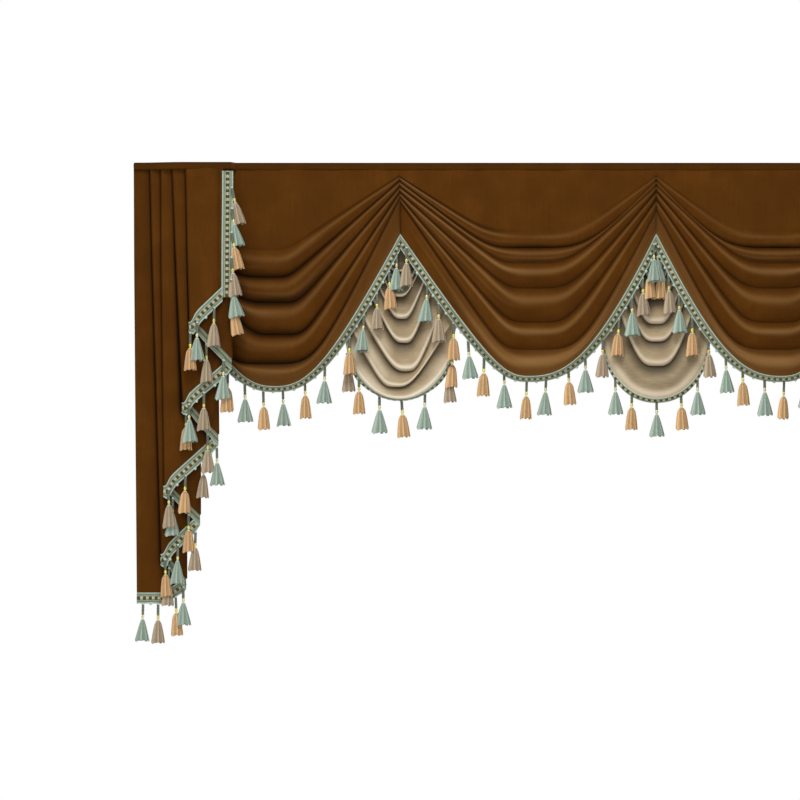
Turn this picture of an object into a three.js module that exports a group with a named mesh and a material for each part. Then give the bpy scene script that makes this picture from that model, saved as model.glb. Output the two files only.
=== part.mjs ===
// A velvet swag valance. Three swags hang from a heading, a cascade tail covers each end,
// a pale under-swag fills each opening between the swags, and a braid with tassels
// runs along every free edge. Millimetres, +Z up, the front faces -Y.
// The origin is the middle of the top edge, at the back of the heading.
// A drop is a distance down from the top edge.
import * as THREE from 'three';

// Heading: the folded band that binds the tops of all the cloths.
const HALF_LENGTH = 788;
const HEADING_HEIGHT = 14;
const HEADING_DEPTH = 10;
const TAIL_HEADING_DEPTH = 39;
const TAIL_HEADING_LENGTH = 192;

// Cloth and clearances.
const GAP = 0.3;
const TOP_DROP = HEADING_HEIGHT + GAP;
const SWAG_THICKNESS = 2.4;
const CLOTH_THICKNESS = 2;
const SWAG_PLANE = -7;
const UNDER_PLANE = -2;

// Swags: a row for each crease, from the first under the flat top down to the hem.
// centre and gather are the crease's drops in the middle and at the gathered ends, bow rounds
// its foot, lean moves the foot aside as a share of the half width, depth is how far the fold
// below it stands out, and crest is the share of that fold above its crest.
const MIDDLE_FOLDS = [
  { centre: 130, gather: 28, bow: 0.25, lean: 0, depth: 14, crest: 0.5 },
  { centre: 171, gather: 38, bow: 0.3, lean: 0.06, depth: 11, crest: 0.25 },
  { centre: 202, gather: 49, bow: 0.25, lean: 0.04, depth: 16, crest: 0.36 },
  { centre: 252, gather: 60, bow: 0.22, lean: 0.06, depth: 20, crest: 0.36 },
  { centre: 320, gather: 71, bow: 0.27, lean: 0.09, depth: 18, crest: 0.42 },
  { centre: 374, gather: 84, bow: 0.36, lean: 0.07, depth: 9, crest: 0.42 },
  { centre: 425, gather: 144, bow: 0.5, lean: 0.04, depth: 0, crest: 0.5 },
];
const OUTER_FOLDS = [
  { centre: 172, gather: 26, bow: 0.16, lean: -0.12, depth: 17, crest: 0.45 },
  { centre: 227, gather: 36, bow: 0.16, lean: -0.1, depth: 17, crest: 0.36 },
  { centre: 277, gather: 48, bow: 0.2, lean: -0.06, depth: 20, crest: 0.38 },
  { centre: 341, gather: 59, bow: 0.24, lean: -0.03, depth: 19, crest: 0.4 },
  { centre: 402, gather: 71, bow: 0.28, lean: 0, depth: 9, crest: 0.42 },
  { centre: 444, gather: 146, bow: 0.33, lean: 0, depth: 0, crest: 0.5 },
];
const GATHER_CREST = 0.24;
const SEAM_X = 256;
const OUTER_SPAN = 500;
const SEAM_GAP = 0.2;
const SWAG_BELLY = 20;
const GATHERED_SHARE = 0.3;
const PRESSED_FROM = -560;
const PRESSED_OVER = 150;
const PRESSED_SHARE = 0.06;
const SWAG_COLUMNS = 14;
const FLAT_ROWS = 2;
const FOLD_STEPS = [0, 0.32, 0.66];

// Under-swags: a row for each crease. half is the half width of the hanging curve.
// Past the curve a wing of the cloth goes on outwards and up, behind the swags.
const UNDER_FOLDS = [
  { centre: 104, side: 54, half: 44, depth: 0, crest: 0.5 },
  { centre: 282, side: 190, half: 60, depth: 7, crest: 0.45 },
  { centre: 334, side: 212, half: 58, depth: 8, crest: 0.45 },
  { centre: 390, side: 262, half: 74, depth: 8, crest: 0.45 },
  { centre: 438, side: 304, half: 96, depth: 5, crest: 0.45 },
  { centre: 472, side: 335, half: 110, depth: 0, crest: 0.5 },
];
const UNDER_TOP_HALF = 60;
const UNDER_WING = 0.2;
const UNDER_WING_OUT = 100;
const UNDER_WING_UP = 150;
const UNDER_BELLY = 23;
const UNDER_BELLY_FROM = 0.4;
const UNDER_COLUMNS = 14;

// Cascade tail: a row for each fold of the back-and-forth pleats, from the long outer edge
// to the short front edge. hem is the drop of the slanting hem at that fold,
// and tassels counts those on the hem from this fold to the next.
const TAIL_TURNS = [
  { top: -788, low: -781, hem: 860, tassels: 3 },
  { top: -680, low: -682, hem: 830, tassels: 2 },
  { top: -756, low: -736, hem: 770, tassels: 3 },
  { top: -656, low: -658, hem: 698, tassels: 2 },
  { top: -736, low: -729, hem: 636, tassels: 4 },
  { top: -624, low: -622, hem: 534, tassels: 2 },
  { top: -712, low: -692, hem: 466, tassels: 3 },
  { top: -600, low: -596, hem: 384, tassels: 3 },
  { top: -688, low: -678, hem: 310, tassels: 2 },
  { top: -612, low: -612, hem: 250, tassels: 0 },
];
const TAIL_LEVEL_HEM_TO = -732;
const TAIL_PLANE = -9.6;
const TAIL_STAND_OUT = 10;
const PLEAT_PITCH_TOP = 3.4;
const PLEAT_PITCH = 6;
const TURN_RADIUS = 2.4;
const TAIL_EASE_DROP = 235;
const TAIL_UPPER_DROPS = [TOP_DROP, 60, 105, 145, 190, TAIL_EASE_DROP];
const TAIL_LOWER_SHARES = [0.5, 1];

// Fringe: a flat braid with tassels on cords.
const BRAID_WIDTH = 20;
const BRAID_THICKNESS = 3;
const STEEPEST_WIDENING = 1.9;
const SWAG_BRAID_ROLL = THREE.MathUtils.degToRad(50);
const UNDER_BRAID_ROLL = THREE.MathUtils.degToRad(70);
const UNDER_BRAID_SHARE = 0.86;
const OUTER_BRAID_FROM = -622;
const EDGE_BRAID_TOP = 17;
const SWAG_TASSELS = { middle: 17, outer: 11 };
const UNDER_TASSELS = 7;
const EDGE_TASSELS = 6;
const APEX_MARGIN = 16;
const END_MARGIN = 8;

// Tassel: a cord, a bead, and a skirt of locks. roots part the neck across its width,
// and each part carries the lock of the same place, or none.
const CORD_HALF = 1.3;
const CORD_LENGTH = 24;
const BEAD_HALF = 4;
const BEAD_HEIGHT = 8;
const NECK_HALF = 5;
const NECK_HALF_DEPTH = 2.6;
const SKIRT_LENGTH = 48;
const SKIRT_HALF = 12.5;
const TASSEL_LENGTH = CORD_LENGTH + BEAD_HEIGHT + SKIRT_LENGTH;
const SIDE_LOCKS = [{ left: -SKIRT_HALF, right: -6 }, { left: 6, right: SKIRT_HALF }];
const MIDDLE_LOCK = { left: -4.6, right: 4.6 };
const FULL_TASSEL = {
  roots: [-NECK_HALF, -2, 2, NECK_HALF],
  locks: [SIDE_LOCKS[0], MIDDLE_LOCK, SIDE_LOCKS[1]],
  halfDepth: 5.5,
  aside: 0,
  forward: 0,
};
const MIDDLE_SEAM_TASSEL = { ...FULL_TASSEL, forward: 15 };
const OUTER_SEAM_TASSEL = { ...FULL_TASSEL, forward: 3 };
const UNDER_TASSEL = { ...FULL_TASSEL, forward: 4.5 };
const FLAT_TASSEL = {
  roots: [-NECK_HALF, 0, NECK_HALF],
  locks: [{ left: -SKIRT_HALF, right: -1 }, { left: 1, right: SKIRT_HALF }],
  halfDepth: 2.8,
  aside: 0,
  forward: 0,
};
// Down a tail's edge the cord of each tassel hangs between the locks of the one above.
const EDGE_TASSEL = {
  ...FLAT_TASSEL,
  roots: FULL_TASSEL.roots,
  locks: [SIDE_LOCKS[0], null, SIDE_LOCKS[1]],
  aside: 3,
  forward: 4.8,
};

const VELVET = { color: 0x55330f, roughness: 0.85, metalness: 0 };
const CREAM = { color: 0xb5a284, roughness: 0.6, metalness: 0 };
const MINT = { color: 0x93aa9c, roughness: 0.8, metalness: 0 };

const FRONT = new THREE.Vector3(0, -1, 0);
const ACROSS = new THREE.Vector3(1, 0, 0);
const DOWN = new THREE.Vector3(0, 0, -1);

const { lerp, smoothstep, clamp } = THREE.MathUtils;

// Shared points and faces, given back as a closed geometry that faces out.
class Solid {
  points = [];
  triangles = [];

  add(point) {
    return this.points.push(point) - 1;
  }

  polygon(...corners) {
    for (let i = 1; i + 1 < corners.length; i++) {
      this.triangles.push([corners[0], corners[i], corners[i + 1]]);
    }
  }

  // A copy with its points mapped by a function of x.
  mappedX(change) {
    const copy = new Solid();
    copy.points = this.points.map((p) => new THREE.Vector3(change(p.x), p.y, p.z));
    copy.triangles = this.triangles;
    return copy;
  }

  mirrored() {
    return this.mappedX((x) => -x);
  }

  moved(byX) {
    return this.mappedX((x) => x + byX);
  }

  volume() {
    const across = new THREE.Vector3();
    return this.triangles.reduce((sum, [a, b, c]) => {
      across.crossVectors(this.points[b], this.points[c]);
      return sum + this.points[a].dot(across) / 6;
    }, 0);
  }

  geometry() {
    const outward = this.volume() > 0 ? (t) => t : ([a, b, c]) => [a, c, b];
    const geometry = new THREE.BufferGeometry();
    geometry.setFromPoints(this.points);
    geometry.setIndex(this.triangles.flatMap(outward));
    geometry.computeVertexNormals();
    return geometry;
  }
}

function named(name, geometry, finish) {
  const mesh = new THREE.Mesh(geometry, new THREE.MeshStandardMaterial(finish));
  mesh.name = name;
  return mesh;
}

// A sheet on a grid of middle points. halves go from the middle to the front face, by column.
function sheet(grid, halves) {
  const solid = new Solid();
  const rows = grid.length;
  const columns = grid[0].length;
  const face = (side) =>
    grid.map((line) => line.map((p, c) => solid.add(p.clone().addScaledVector(halves[c], side))));
  const front = face(1);
  const back = face(-1);
  for (let r = 0; r + 1 < rows; r++) {
    for (let c = 0; c + 1 < columns; c++) {
      solid.polygon(front[r][c], front[r + 1][c], front[r + 1][c + 1], front[r][c + 1]);
      solid.polygon(back[r][c], back[r][c + 1], back[r + 1][c + 1], back[r + 1][c]);
    }
  }
  const rim = [];
  for (let c = 0; c < columns - 1; c++) rim.push([0, c]);
  for (let r = 0; r < rows - 1; r++) rim.push([r, columns - 1]);
  for (let c = columns - 1; c > 0; c--) rim.push([rows - 1, c]);
  for (let r = rows - 1; r > 0; r--) rim.push([r, 0]);
  rim.forEach(([r, c], i) => {
    const [nextR, nextC] = rim[(i + 1) % rim.length];
    solid.polygon(front[r][c], front[nextR][nextC], back[nextR][nextC], back[r][c]);
  });
  return solid;
}

function steps(count) {
  return Array.from({ length: count + 1 }, (_, i) => (2 * i) / count - 1);
}

// How far a hanging edge has risen at a share s of the way from its foot to its gather.
function rise(s, bow) {
  const height = (at) => Math.cbrt(at ** 3 + bow ** 3) - bow;
  return height(s) / height(1);
}

// The outline of one fold: out of the crease above, over the crest, and back under it.
function ridge(t, crest) {
  return Math.sin(Math.PI * t ** (Math.log(0.5) / Math.log(crest)));
}

// Swags. Behind a tail the folds of an outer swag lie pressed flat.
const MIDDLE_SWAG = {
  folds: MIDDLE_FOLDS,
  x: 0,
  half: SEAM_X - SEAM_GAP,
  press: () => 1,
};
const OUTER_SWAG = {
  folds: OUTER_FOLDS,
  x: -SEAM_X - OUTER_SPAN / 2,
  half: OUTER_SPAN / 2 - SEAM_GAP,
  press: (x) => Math.max(PRESSED_SHARE, clamp((x - PRESSED_FROM) / PRESSED_OVER + 1, 0, 1) ** 2),
};

function creaseDrop(crease, u) {
  const share = (u - crease.lean) / (u < crease.lean ? -1 - crease.lean : 1 - crease.lean);
  return lerp(crease.centre, crease.gather, rise(share, crease.bow));
}

// A point of a swag: u runs from gather to gather, and t down the fold below crease i.
function foldPoint(swag, u, i, t) {
  const { folds } = swag;
  const x = swag.x + swag.half * u;
  const drop = lerp(creaseDrop(folds[i], u), creaseDrop(folds[i + 1], u), t);
  const down = smoothstep((i + t) / (folds.length - 1), 0, 1);
  const belly = SWAG_BELLY * down * (1 - Math.abs(u) ** 8);
  const crest = lerp(folds[i].crest, GATHER_CREST, u * u);
  const fold = folds[i].depth * lerp(1, GATHERED_SHARE, Math.abs(u) ** 3) * ridge(t, crest);
  return new THREE.Vector3(x, SWAG_PLANE - swag.press(x) * (belly + fold), -drop);
}

function swagGrid(swag) {
  const us = steps(SWAG_COLUMNS);
  const { folds } = swag;
  const grid = [];
  for (let r = 0; r < FLAT_ROWS; r++) {
    grid.push(us.map((u) => {
      const drop = lerp(TOP_DROP, creaseDrop(folds[0], u), r / FLAT_ROWS);
      return new THREE.Vector3(swag.x + swag.half * u, SWAG_PLANE, -drop);
    }));
  }
  for (let i = 0; i + 1 < folds.length; i++) {
    for (const t of FOLD_STEPS) grid.push(us.map((u) => foldPoint(swag, u, i, t)));
  }
  grid.push(us.map((u) => foldPoint(swag, u, folds.length - 2, 1)));
  return grid;
}

// The angle round the hanging curve of an under-swag, which ends at u = -1 and 1.
function underAngle(u) {
  return (clamp(u, -1, 1) * Math.PI) / 2;
}

function underSteps() {
  return steps(UNDER_COLUMNS).map((u) => u * (1 + UNDER_WING));
}

// A point of an under-swag: u runs across it, and t down the fold below crease i.
function underPoint(u, i, t) {
  const angle = underAngle(u);
  const wing = Math.max(Math.abs(u) - 1, 0);
  const upper = UNDER_FOLDS[i];
  const lower = UNDER_FOLDS[i + 1];
  const dropOf = (crease) => lerp(crease.side, crease.centre, Math.cos(angle));
  const half = lerp(upper.half, lower.half, t);
  const x = half * Math.sin(angle) + Math.sign(u) * UNDER_WING_OUT * wing;
  const drop = lerp(dropOf(upper), dropOf(lower), t) - UNDER_WING_UP * wing;
  const down = smoothstep((i + t) / (UNDER_FOLDS.length - 1), UNDER_BELLY_FROM, 1);
  const outward = UNDER_BELLY * down + upper.depth * ridge(t, upper.crest);
  return new THREE.Vector3(x, UNDER_PLANE - Math.cos(angle) ** 2 * outward, -drop);
}

function underGrid() {
  const us = underSteps();
  const topX = (u) => UNDER_TOP_HALF * Math.sin((u * Math.PI) / 2 / (1 + UNDER_WING));
  const grid = [us.map((u) => new THREE.Vector3(topX(u), UNDER_PLANE, -TOP_DROP))];
  grid.push(us.map((u) => underPoint(u, 0, 0)));
  for (let i = 1; i + 1 < UNDER_FOLDS.length; i++) {
    for (const t of FOLD_STEPS) grid.push(us.map((u) => underPoint(u, i, t)));
  }
  grid.push(us.map((u) => underPoint(u, UNDER_FOLDS.length - 2, 1)));
  return grid;
}

// Stations along the pleated section of a tail, from the outer edge to the front edge:
// the fold's x at the top and low at the hem, the hem's drop, the layer, and the side it faces.
function tailStations() {
  const stations = [];
  const lastLayer = TAIL_TURNS.length - 2;
  for (let layer = 0; layer <= lastLayer; layer++) {
    const from = TAIL_TURNS[layer];
    const to = TAIL_TURNS[layer + 1];
    const way = Math.sign(to.top - from.top);
    const normal = FRONT.clone().multiplyScalar(way);
    const across = ACROSS.clone().multiplyScalar(way);
    const at = ({ top, low, hem }, inset) =>
      ({ top: top + inset, low: low + inset, hem, layer, normal, across });
    stations.push(at(from, layer > 0 ? way * TURN_RADIUS : 0));
    if (layer === 0) {
      const share = (TAIL_LEVEL_HEM_TO - from.low) / (to.low - from.low);
      const top = lerp(from.top, to.top, share);
      stations.push(at({ top, low: TAIL_LEVEL_HEM_TO, hem: from.hem }, 0));
    }
    stations.push(at(to, layer < lastLayer ? -way * TURN_RADIUS : 0));
    if (layer < lastLayer) {
      const turn = at(to, 0);
      stations.push({ ...turn, layer: layer + 0.5, normal: ACROSS.clone().negate() });
    }
  }
  return stations;
}

function tailPoint(station, drop) {
  const open = smoothstep(drop, TOP_DROP, TAIL_EASE_DROP);
  const pitch = lerp(PLEAT_PITCH_TOP, PLEAT_PITCH, open);
  const y = TAIL_PLANE - TAIL_STAND_OUT * open - pitch * station.layer;
  return new THREE.Vector3(lerp(station.top, station.low, drop / station.hem), y, -drop);
}

function tailCloth(stations) {
  const upper = TAIL_UPPER_DROPS.map((drop) => stations.map((s) => tailPoint(s, drop)));
  const lower = TAIL_LOWER_SHARES.map((share) =>
    stations.map((s) => tailPoint(s, lerp(TAIL_EASE_DROP, s.hem, share))));
  const halves = stations.map((s) => s.normal.clone().multiplyScalar(CLOTH_THICKNESS / 2));
  return sheet([...upper, ...lower], halves);
}

// One tassel drawn out of an open quad of a braid's edge. The quad's corners run back-left,
// front-left, front-right, back-right, as seen along across and out.
function addTassel(solid, quad, { across, out, roots, locks, halfDepth, aside, forward }) {
  const middle = new THREE.Vector3();
  quad.forEach((corner) => middle.addScaledVector(solid.points[corner], 1 / quad.length));
  middle.addScaledVector(across, aside).addScaledVector(out, forward);
  const place = (side, front, down) => solid.add(middle.clone()
    .addScaledVector(across, side).addScaledVector(out, front).addScaledVector(DOWN, down));
  const ring = (left, right, deep, down) => [
    place(left, -deep, down),
    place(left, deep, down),
    place(right, deep, down),
    place(right, -deep, down),
  ];
  const join = (upper, lower) => upper.forEach((corner, i) => {
    const next = (i + 1) % upper.length;
    solid.polygon(corner, upper[next], lower[next], lower[i]);
  });

  const cordEnd = ring(-CORD_HALF, CORD_HALF, CORD_HALF, CORD_LENGTH);
  const beadDepth = Math.min(BEAD_HALF, halfDepth);
  const bead = ring(-BEAD_HALF, BEAD_HALF, beadDepth, CORD_LENGTH + BEAD_HEIGHT / 2);
  join(quad, cordEnd);
  join(cordEnd, bead);

  const neckDown = CORD_LENGTH + BEAD_HEIGHT;
  const backs = roots.map((x) => place(x, -NECK_HALF_DEPTH, neckDown));
  const fronts = roots.map((x) => place(x, NECK_HALF_DEPTH, neckDown));
  const [backLeft, frontLeft, frontRight, backRight] = bead;
  solid.polygon(backLeft, frontLeft, fronts[0], backs[0]);
  solid.polygon(frontLeft, frontRight, ...fronts.toReversed());
  solid.polygon(frontRight, backRight, backs.at(-1), fronts.at(-1));
  solid.polygon(backRight, backLeft, ...backs);

  locks.forEach((lock, i) => {
    const root = [backs[i], fronts[i], fronts[i + 1], backs[i + 1]];
    if (!lock) {
      solid.polygon(...root);
      return;
    }
    const end = ring(lock.left, lock.right, halfDepth, neckDown + SKIRT_LENGTH);
    join(root, end);
    solid.polygon(...end);
  });
}

// A braid along stations, each with its inner and outer edge points, the side it faces and
// the way across. Each spot has a run length along the inner edge and the kind of its tassel.
function fringe(stations, spots) {
  const runs = [0];
  for (let i = 1; i < stations.length; i++) {
    runs.push(runs[i - 1] + stations[i].inner.distanceTo(stations[i - 1].inner));
  }
  const stationAt = (run) => {
    const i = clamp(runs.findIndex((r) => r > run) - 1, 0, stations.length - 2);
    const share = (run - runs[i]) / (runs[i + 1] - runs[i]);
    const [a, b] = [stations[i], stations[i + 1]];
    const between = (key) => a[key].clone().lerp(b[key], share);
    return { inner: between('inner'), outer: between('outer'), normal: between('normal') };
  };
  const columns = stations.map((s, i) => ({ ...s, run: runs[i] }));
  for (const { run: wanted, kind } of spots) {
    const near = runs.find((r) => Math.abs(r - wanted) < 2 * CORD_HALF);
    const run = near === undefined ? wanted : near + 2 * CORD_HALF;
    const { across, normal: out } = stations[runs.findIndex((r) => r > run) - 1];
    const hangs = { ...kind, across, out };
    columns.push({ ...stationAt(run - CORD_HALF), run: run - CORD_HALF, hangs });
    columns.push({ ...stationAt(run + CORD_HALF), run: run + CORD_HALF });
  }
  columns.sort((a, b) => a.run - b.run);

  const solid = new Solid();
  const corners = columns.map(({ inner, outer, normal }) => {
    const half = normal.clone().multiplyScalar(BRAID_THICKNESS / 2);
    return {
      innerFront: solid.add(inner.clone().add(half)),
      innerBack: solid.add(inner.clone().sub(half)),
      outerBack: solid.add(outer.clone().sub(half)),
      outerFront: solid.add(outer.clone().add(half)),
    };
  });
  for (let i = 0; i + 1 < columns.length; i++) {
    const a = corners[i];
    const b = corners[i + 1];
    solid.polygon(a.innerFront, a.innerBack, b.innerBack, b.innerFront);
    solid.polygon(a.innerBack, a.outerBack, b.outerBack, b.innerBack);
    solid.polygon(a.outerFront, a.innerFront, b.innerFront, b.outerFront);
    const edge = [a.outerBack, a.outerFront, b.outerFront, b.outerBack];
    if (columns[i].hangs) {
      addTassel(solid, edge, columns[i].hangs);
    } else {
      solid.polygon(...edge);
    }
  }
  const first = corners[0];
  const last = corners.at(-1);
  solid.polygon(first.innerFront, first.outerFront, first.outerBack, first.innerBack);
  solid.polygon(last.innerFront, last.innerBack, last.outerBack, last.outerFront);
  return solid;
}

// Spots for count tassels of a kind, spread evenly between two run lengths.
function evenly(count, from, to, kind) {
  return Array.from({ length: count }, (_, i) => ({ run: lerp(from, to, i / (count - 1)), kind }));
}

// Stations of a braid below a hanging hem; roll turns its lower edge back at the hem's foot.
function hemStations(hem, roll) {
  return hem.map((p, i) => {
    const before = hem[Math.max(i - 1, 0)];
    const after = hem[Math.min(i + 1, hem.length - 1)];
    const slope = (after.z - before.z) / (after.x - before.x);
    const widening = Math.min(Math.hypot(1, slope), STEEPEST_WIDENING);
    const turn = roll(i);
    const inner = p.clone().addScaledVector(DOWN, GAP * widening);
    const outer = inner.clone().addScaledVector(DOWN, BRAID_WIDTH * widening * Math.cos(turn))
      .addScaledVector(FRONT, -BRAID_WIDTH * Math.sin(turn));
    return { inner, outer, normal: FRONT, across: ACROSS };
  });
}

function runLength(stations) {
  return stations.reduce((sum, s, i) => sum + (i && s.inner.distanceTo(stations[i - 1].inner)), 0);
}

// At a seam the tassel of the middle swag hangs in front of the outer swag's.
function swagFringe(swag, count, fromX, firstMargin, seamTassel) {
  const hem = swagGrid(swag).at(-1).filter((p) => p.x >= fromX);
  const share = (p) => (p.x - swag.x) / swag.half;
  const stations = hemStations(hem, (i) => SWAG_BRAID_ROLL * (1 - share(hem[i]) ** 2) ** 2);
  const spots = evenly(count, firstMargin, runLength(stations) - APEX_MARGIN, FULL_TASSEL);
  if (swag === MIDDLE_SWAG) spots[0].kind = seamTassel;
  spots.at(-1).kind = seamTassel;
  return fringe(stations, spots);
}

function underFringe() {
  const us = underSteps().filter((u) => Math.abs(u) < UNDER_BRAID_SHARE);
  const hem = us.map((u) => underPoint(u, UNDER_FOLDS.length - 2, 1));
  const stations = hemStations(hem, (i) => UNDER_BRAID_ROLL * Math.cos(underAngle(us[i])) ** 2);
  const spots = evenly(UNDER_TASSELS, END_MARGIN, runLength(stations) - END_MARGIN, UNDER_TASSEL);
  return fringe(stations, spots);
}

function tailFringe(stations) {
  const braided = stations.map((s, i) => {
    const before = stations[Math.max(i - 1, 0)];
    const after = stations[Math.min(i + 1, stations.length - 1)];
    const climb = (after.hem - before.hem) / Math.max(Math.abs(after.low - before.low), BRAID_WIDTH);
    const width = BRAID_WIDTH * Math.hypot(1, climb);
    const inner = tailPoint(s, s.hem + GAP);
    return { ...s, inner, outer: tailPoint(s, s.hem + GAP + width) };
  });
  const spots = [];
  let run = 0;
  braided.forEach((s, i) => {
    const next = braided[i + 1];
    if (!next) return;
    run += s.inner.distanceTo(next.inner);
    const layer = s.layer;
    if (layer === next.layer && Number.isInteger(layer) && braided[i + 2]?.layer !== layer) {
      const begins = braided.findIndex((b) => b.layer === layer);
      const length = runLength(braided.slice(begins, i + 2));
      const { tassels } = TAIL_TURNS[layer];
      const inset = length / tassels / 2;
      spots.push(...evenly(tassels, run - length + inset, run - inset, FLAT_TASSEL));
    }
  });
  return fringe(braided, spots);
}

// The braid down the front edge of a tail.
function tailEdgeFringe(stations) {
  const edge = stations.at(-1);
  const bottom = edge.hem + GAP + BRAID_WIDTH;
  const levels = [bottom, ...TAIL_UPPER_DROPS.slice(1).reverse(), EDGE_BRAID_TOP];
  const braided = levels.map((drop) => {
    const inner = tailPoint(edge, drop).addScaledVector(ACROSS, GAP);
    const outer = inner.clone().addScaledVector(ACROSS, BRAID_WIDTH);
    return { inner, outer, normal: FRONT, across: ACROSS };
  });
  const length = runLength(braided);
  const spots = evenly(EDGE_TASSELS, END_MARGIN, length - END_MARGIN - CORD_LENGTH, EDGE_TASSEL);
  // The pleats lean out on their way down, so an upper tassel hangs further forward.
  for (const spot of spots) {
    const drop = bottom - spot.run;
    const lean = tailPoint(edge, drop).y - tailPoint(edge, drop + TASSEL_LENGTH).y;
    spot.kind = { ...EDGE_TASSEL, forward: EDGE_TASSEL.forward + lean };
  }
  return fringe(braided, spots);
}

// The heading steps forward over the pleats of the tails.
function headingBand() {
  const step = HALF_LENGTH - TAIL_HEADING_LENGTH;
  const outline = new THREE.Shape();
  outline.moveTo(-HALF_LENGTH, 0);
  outline.lineTo(-HALF_LENGTH, -TAIL_HEADING_DEPTH);
  outline.lineTo(-step, -TAIL_HEADING_DEPTH);
  outline.lineTo(-step, -HEADING_DEPTH);
  outline.lineTo(step, -HEADING_DEPTH);
  outline.lineTo(step, -TAIL_HEADING_DEPTH);
  outline.lineTo(HALF_LENGTH, -TAIL_HEADING_DEPTH);
  outline.lineTo(HALF_LENGTH, 0);
  const band = new THREE.ExtrudeGeometry(outline, { depth: HEADING_HEIGHT, bevelEnabled: false });
  band.translate(0, 0, -HEADING_HEIGHT);
  return band;
}

const swagHalves = Array(SWAG_COLUMNS + 1).fill(FRONT.clone().multiplyScalar(SWAG_THICKNESS / 2));
const underHalves = Array(UNDER_COLUMNS + 1).fill(FRONT.clone().multiplyScalar(CLOTH_THICKNESS / 2));
const stations = tailStations();

const group = new THREE.Group();
group.name = 'swag_valance';
group.add(named('heading', headingBand(), VELVET));
group.add(named('swag_middle', sheet(swagGrid(MIDDLE_SWAG), swagHalves).geometry(), VELVET));
const middleFringe = swagFringe(MIDDLE_SWAG, SWAG_TASSELS.middle, -SEAM_X, APEX_MARGIN, MIDDLE_SEAM_TASSEL);
group.add(named('fringe_swag_middle', middleFringe.geometry(), MINT));

const leftPieces = [
  { name: 'swag', solid: sheet(swagGrid(OUTER_SWAG), swagHalves), finish: VELVET },
  { name: 'tail', solid: tailCloth(stations), finish: VELVET },
  { name: 'insert', solid: sheet(underGrid(), underHalves).moved(-SEAM_X), finish: CREAM },
  {
    name: 'fringe_swag',
    solid: swagFringe(OUTER_SWAG, SWAG_TASSELS.outer, OUTER_BRAID_FROM, END_MARGIN, OUTER_SEAM_TASSEL),
    finish: MINT,
  },
  { name: 'fringe_insert', solid: underFringe().moved(-SEAM_X), finish: MINT },
  { name: 'fringe_tail', solid: tailFringe(stations), finish: MINT },
  { name: 'fringe_edge', solid: tailEdgeFringe(stations), finish: MINT },
];
for (const { name, solid, finish } of leftPieces) {
  group.add(named(`${name}_left`, solid.geometry(), finish));
  group.add(named(`${name}_right`, solid.mirrored().geometry(), finish));
}

export default group;
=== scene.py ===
import math
from collections import namedtuple

import bpy
import numpy as np
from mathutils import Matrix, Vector


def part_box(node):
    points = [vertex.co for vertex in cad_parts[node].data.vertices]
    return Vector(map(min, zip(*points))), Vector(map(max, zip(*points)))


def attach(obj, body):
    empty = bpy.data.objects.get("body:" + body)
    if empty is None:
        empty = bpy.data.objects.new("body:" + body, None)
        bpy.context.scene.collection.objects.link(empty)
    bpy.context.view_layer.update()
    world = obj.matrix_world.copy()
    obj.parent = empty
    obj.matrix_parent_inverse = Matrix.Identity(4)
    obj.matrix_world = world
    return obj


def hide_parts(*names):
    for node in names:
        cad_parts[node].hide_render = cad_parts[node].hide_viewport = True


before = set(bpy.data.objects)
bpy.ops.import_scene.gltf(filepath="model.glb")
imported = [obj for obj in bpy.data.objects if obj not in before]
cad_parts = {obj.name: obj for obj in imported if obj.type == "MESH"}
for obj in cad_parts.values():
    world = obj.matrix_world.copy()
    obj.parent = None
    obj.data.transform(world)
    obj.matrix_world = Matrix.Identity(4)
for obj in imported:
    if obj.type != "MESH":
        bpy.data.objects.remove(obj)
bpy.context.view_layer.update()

# Heading. A band of brown velvet, folded over the tops of all the cloths and stitched down.
# The pleats of the two tails fill it out, so it stands further forward near both ends.
# Its back is flat, where it is fixed.
MM = 0.001
band_low, band_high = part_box("heading")
HALF_LENGTH = band_high.x / MM
BAND_HEIGHT = -band_low.z / MM
BAND_DEPTH = 10
TAIL_BAND_DEPTH = -band_low.y / MM
TAIL_BAND_FROM = 588
BAND_STEP = 6
BAND_STEP_STATIONS = 7
PLEATS_FULL_TO = 690
PLEATS_END_DEPTH = 17
PLEATS_END_SHORT = 12
BAND_EDGE = 3
BAND_ARC = np.radians(np.linspace(0, 90, 5))
BAND_PUFF = 0.9
BAND_PUFF_SHARES = np.array([0.25, 0.5, 0.75])
BAND_STATION = 4
Ripple = namedtuple("Ripple", "height length start")
BAND_RIPPLES = [Ripple(0.35, 23, 0), Ripple(0.25, 9, 1)]
# Painted shade on the band, darker towards its top edge.
BAND_PAINTED_SHADE = 0.3
BAND_PAINTED_SHADE_DROP = 6
BAND_PAINTED_SHADE_RISE = 0.04
BAND_PAINTED_SHADE_LIMITS = (0.1, 0.5)
SHARP_FROM = math.radians(60)

Part = namedtuple("Part", "points faces values")


def lerp(a, b, share):
    """A value at a share of the way from a to b."""
    return a + (b - a) * share


def smooth(value, start, end):
    """Nought before start, one after end, and an even curve between."""
    share = np.clip((np.asarray(value, float) - start) / (end - start), 0, 1)
    return share * share * (3 - 2 * share)


def dye(red, green, blue):
    """A colour as seen on a screen, 0 to 255, in the shader's own numbers."""
    seen = np.array([red, green, blue]) / 255
    linear = np.where(seen > 0.04045, ((seen + 0.055) / 1.055) ** 2.4, seen / 12.92)
    return (*linear.tolist(), 1.0)


def add(tree, kind, sockets=None, **settings):
    """A node with its settings. Each socket gets a value, or a link from a node or a socket."""
    made = tree.nodes.new(kind)
    for key, value in settings.items():
        setattr(made, key, value)
    for key, value in (sockets or {}).items():
        if isinstance(value, bpy.types.Node):
            tree.links.new(value.outputs[0], made.inputs[key])
        elif isinstance(value, bpy.types.NodeSocket):
            tree.links.new(value, made.inputs[key])
        else:
            made.inputs[key].default_value = value
    return made


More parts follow.
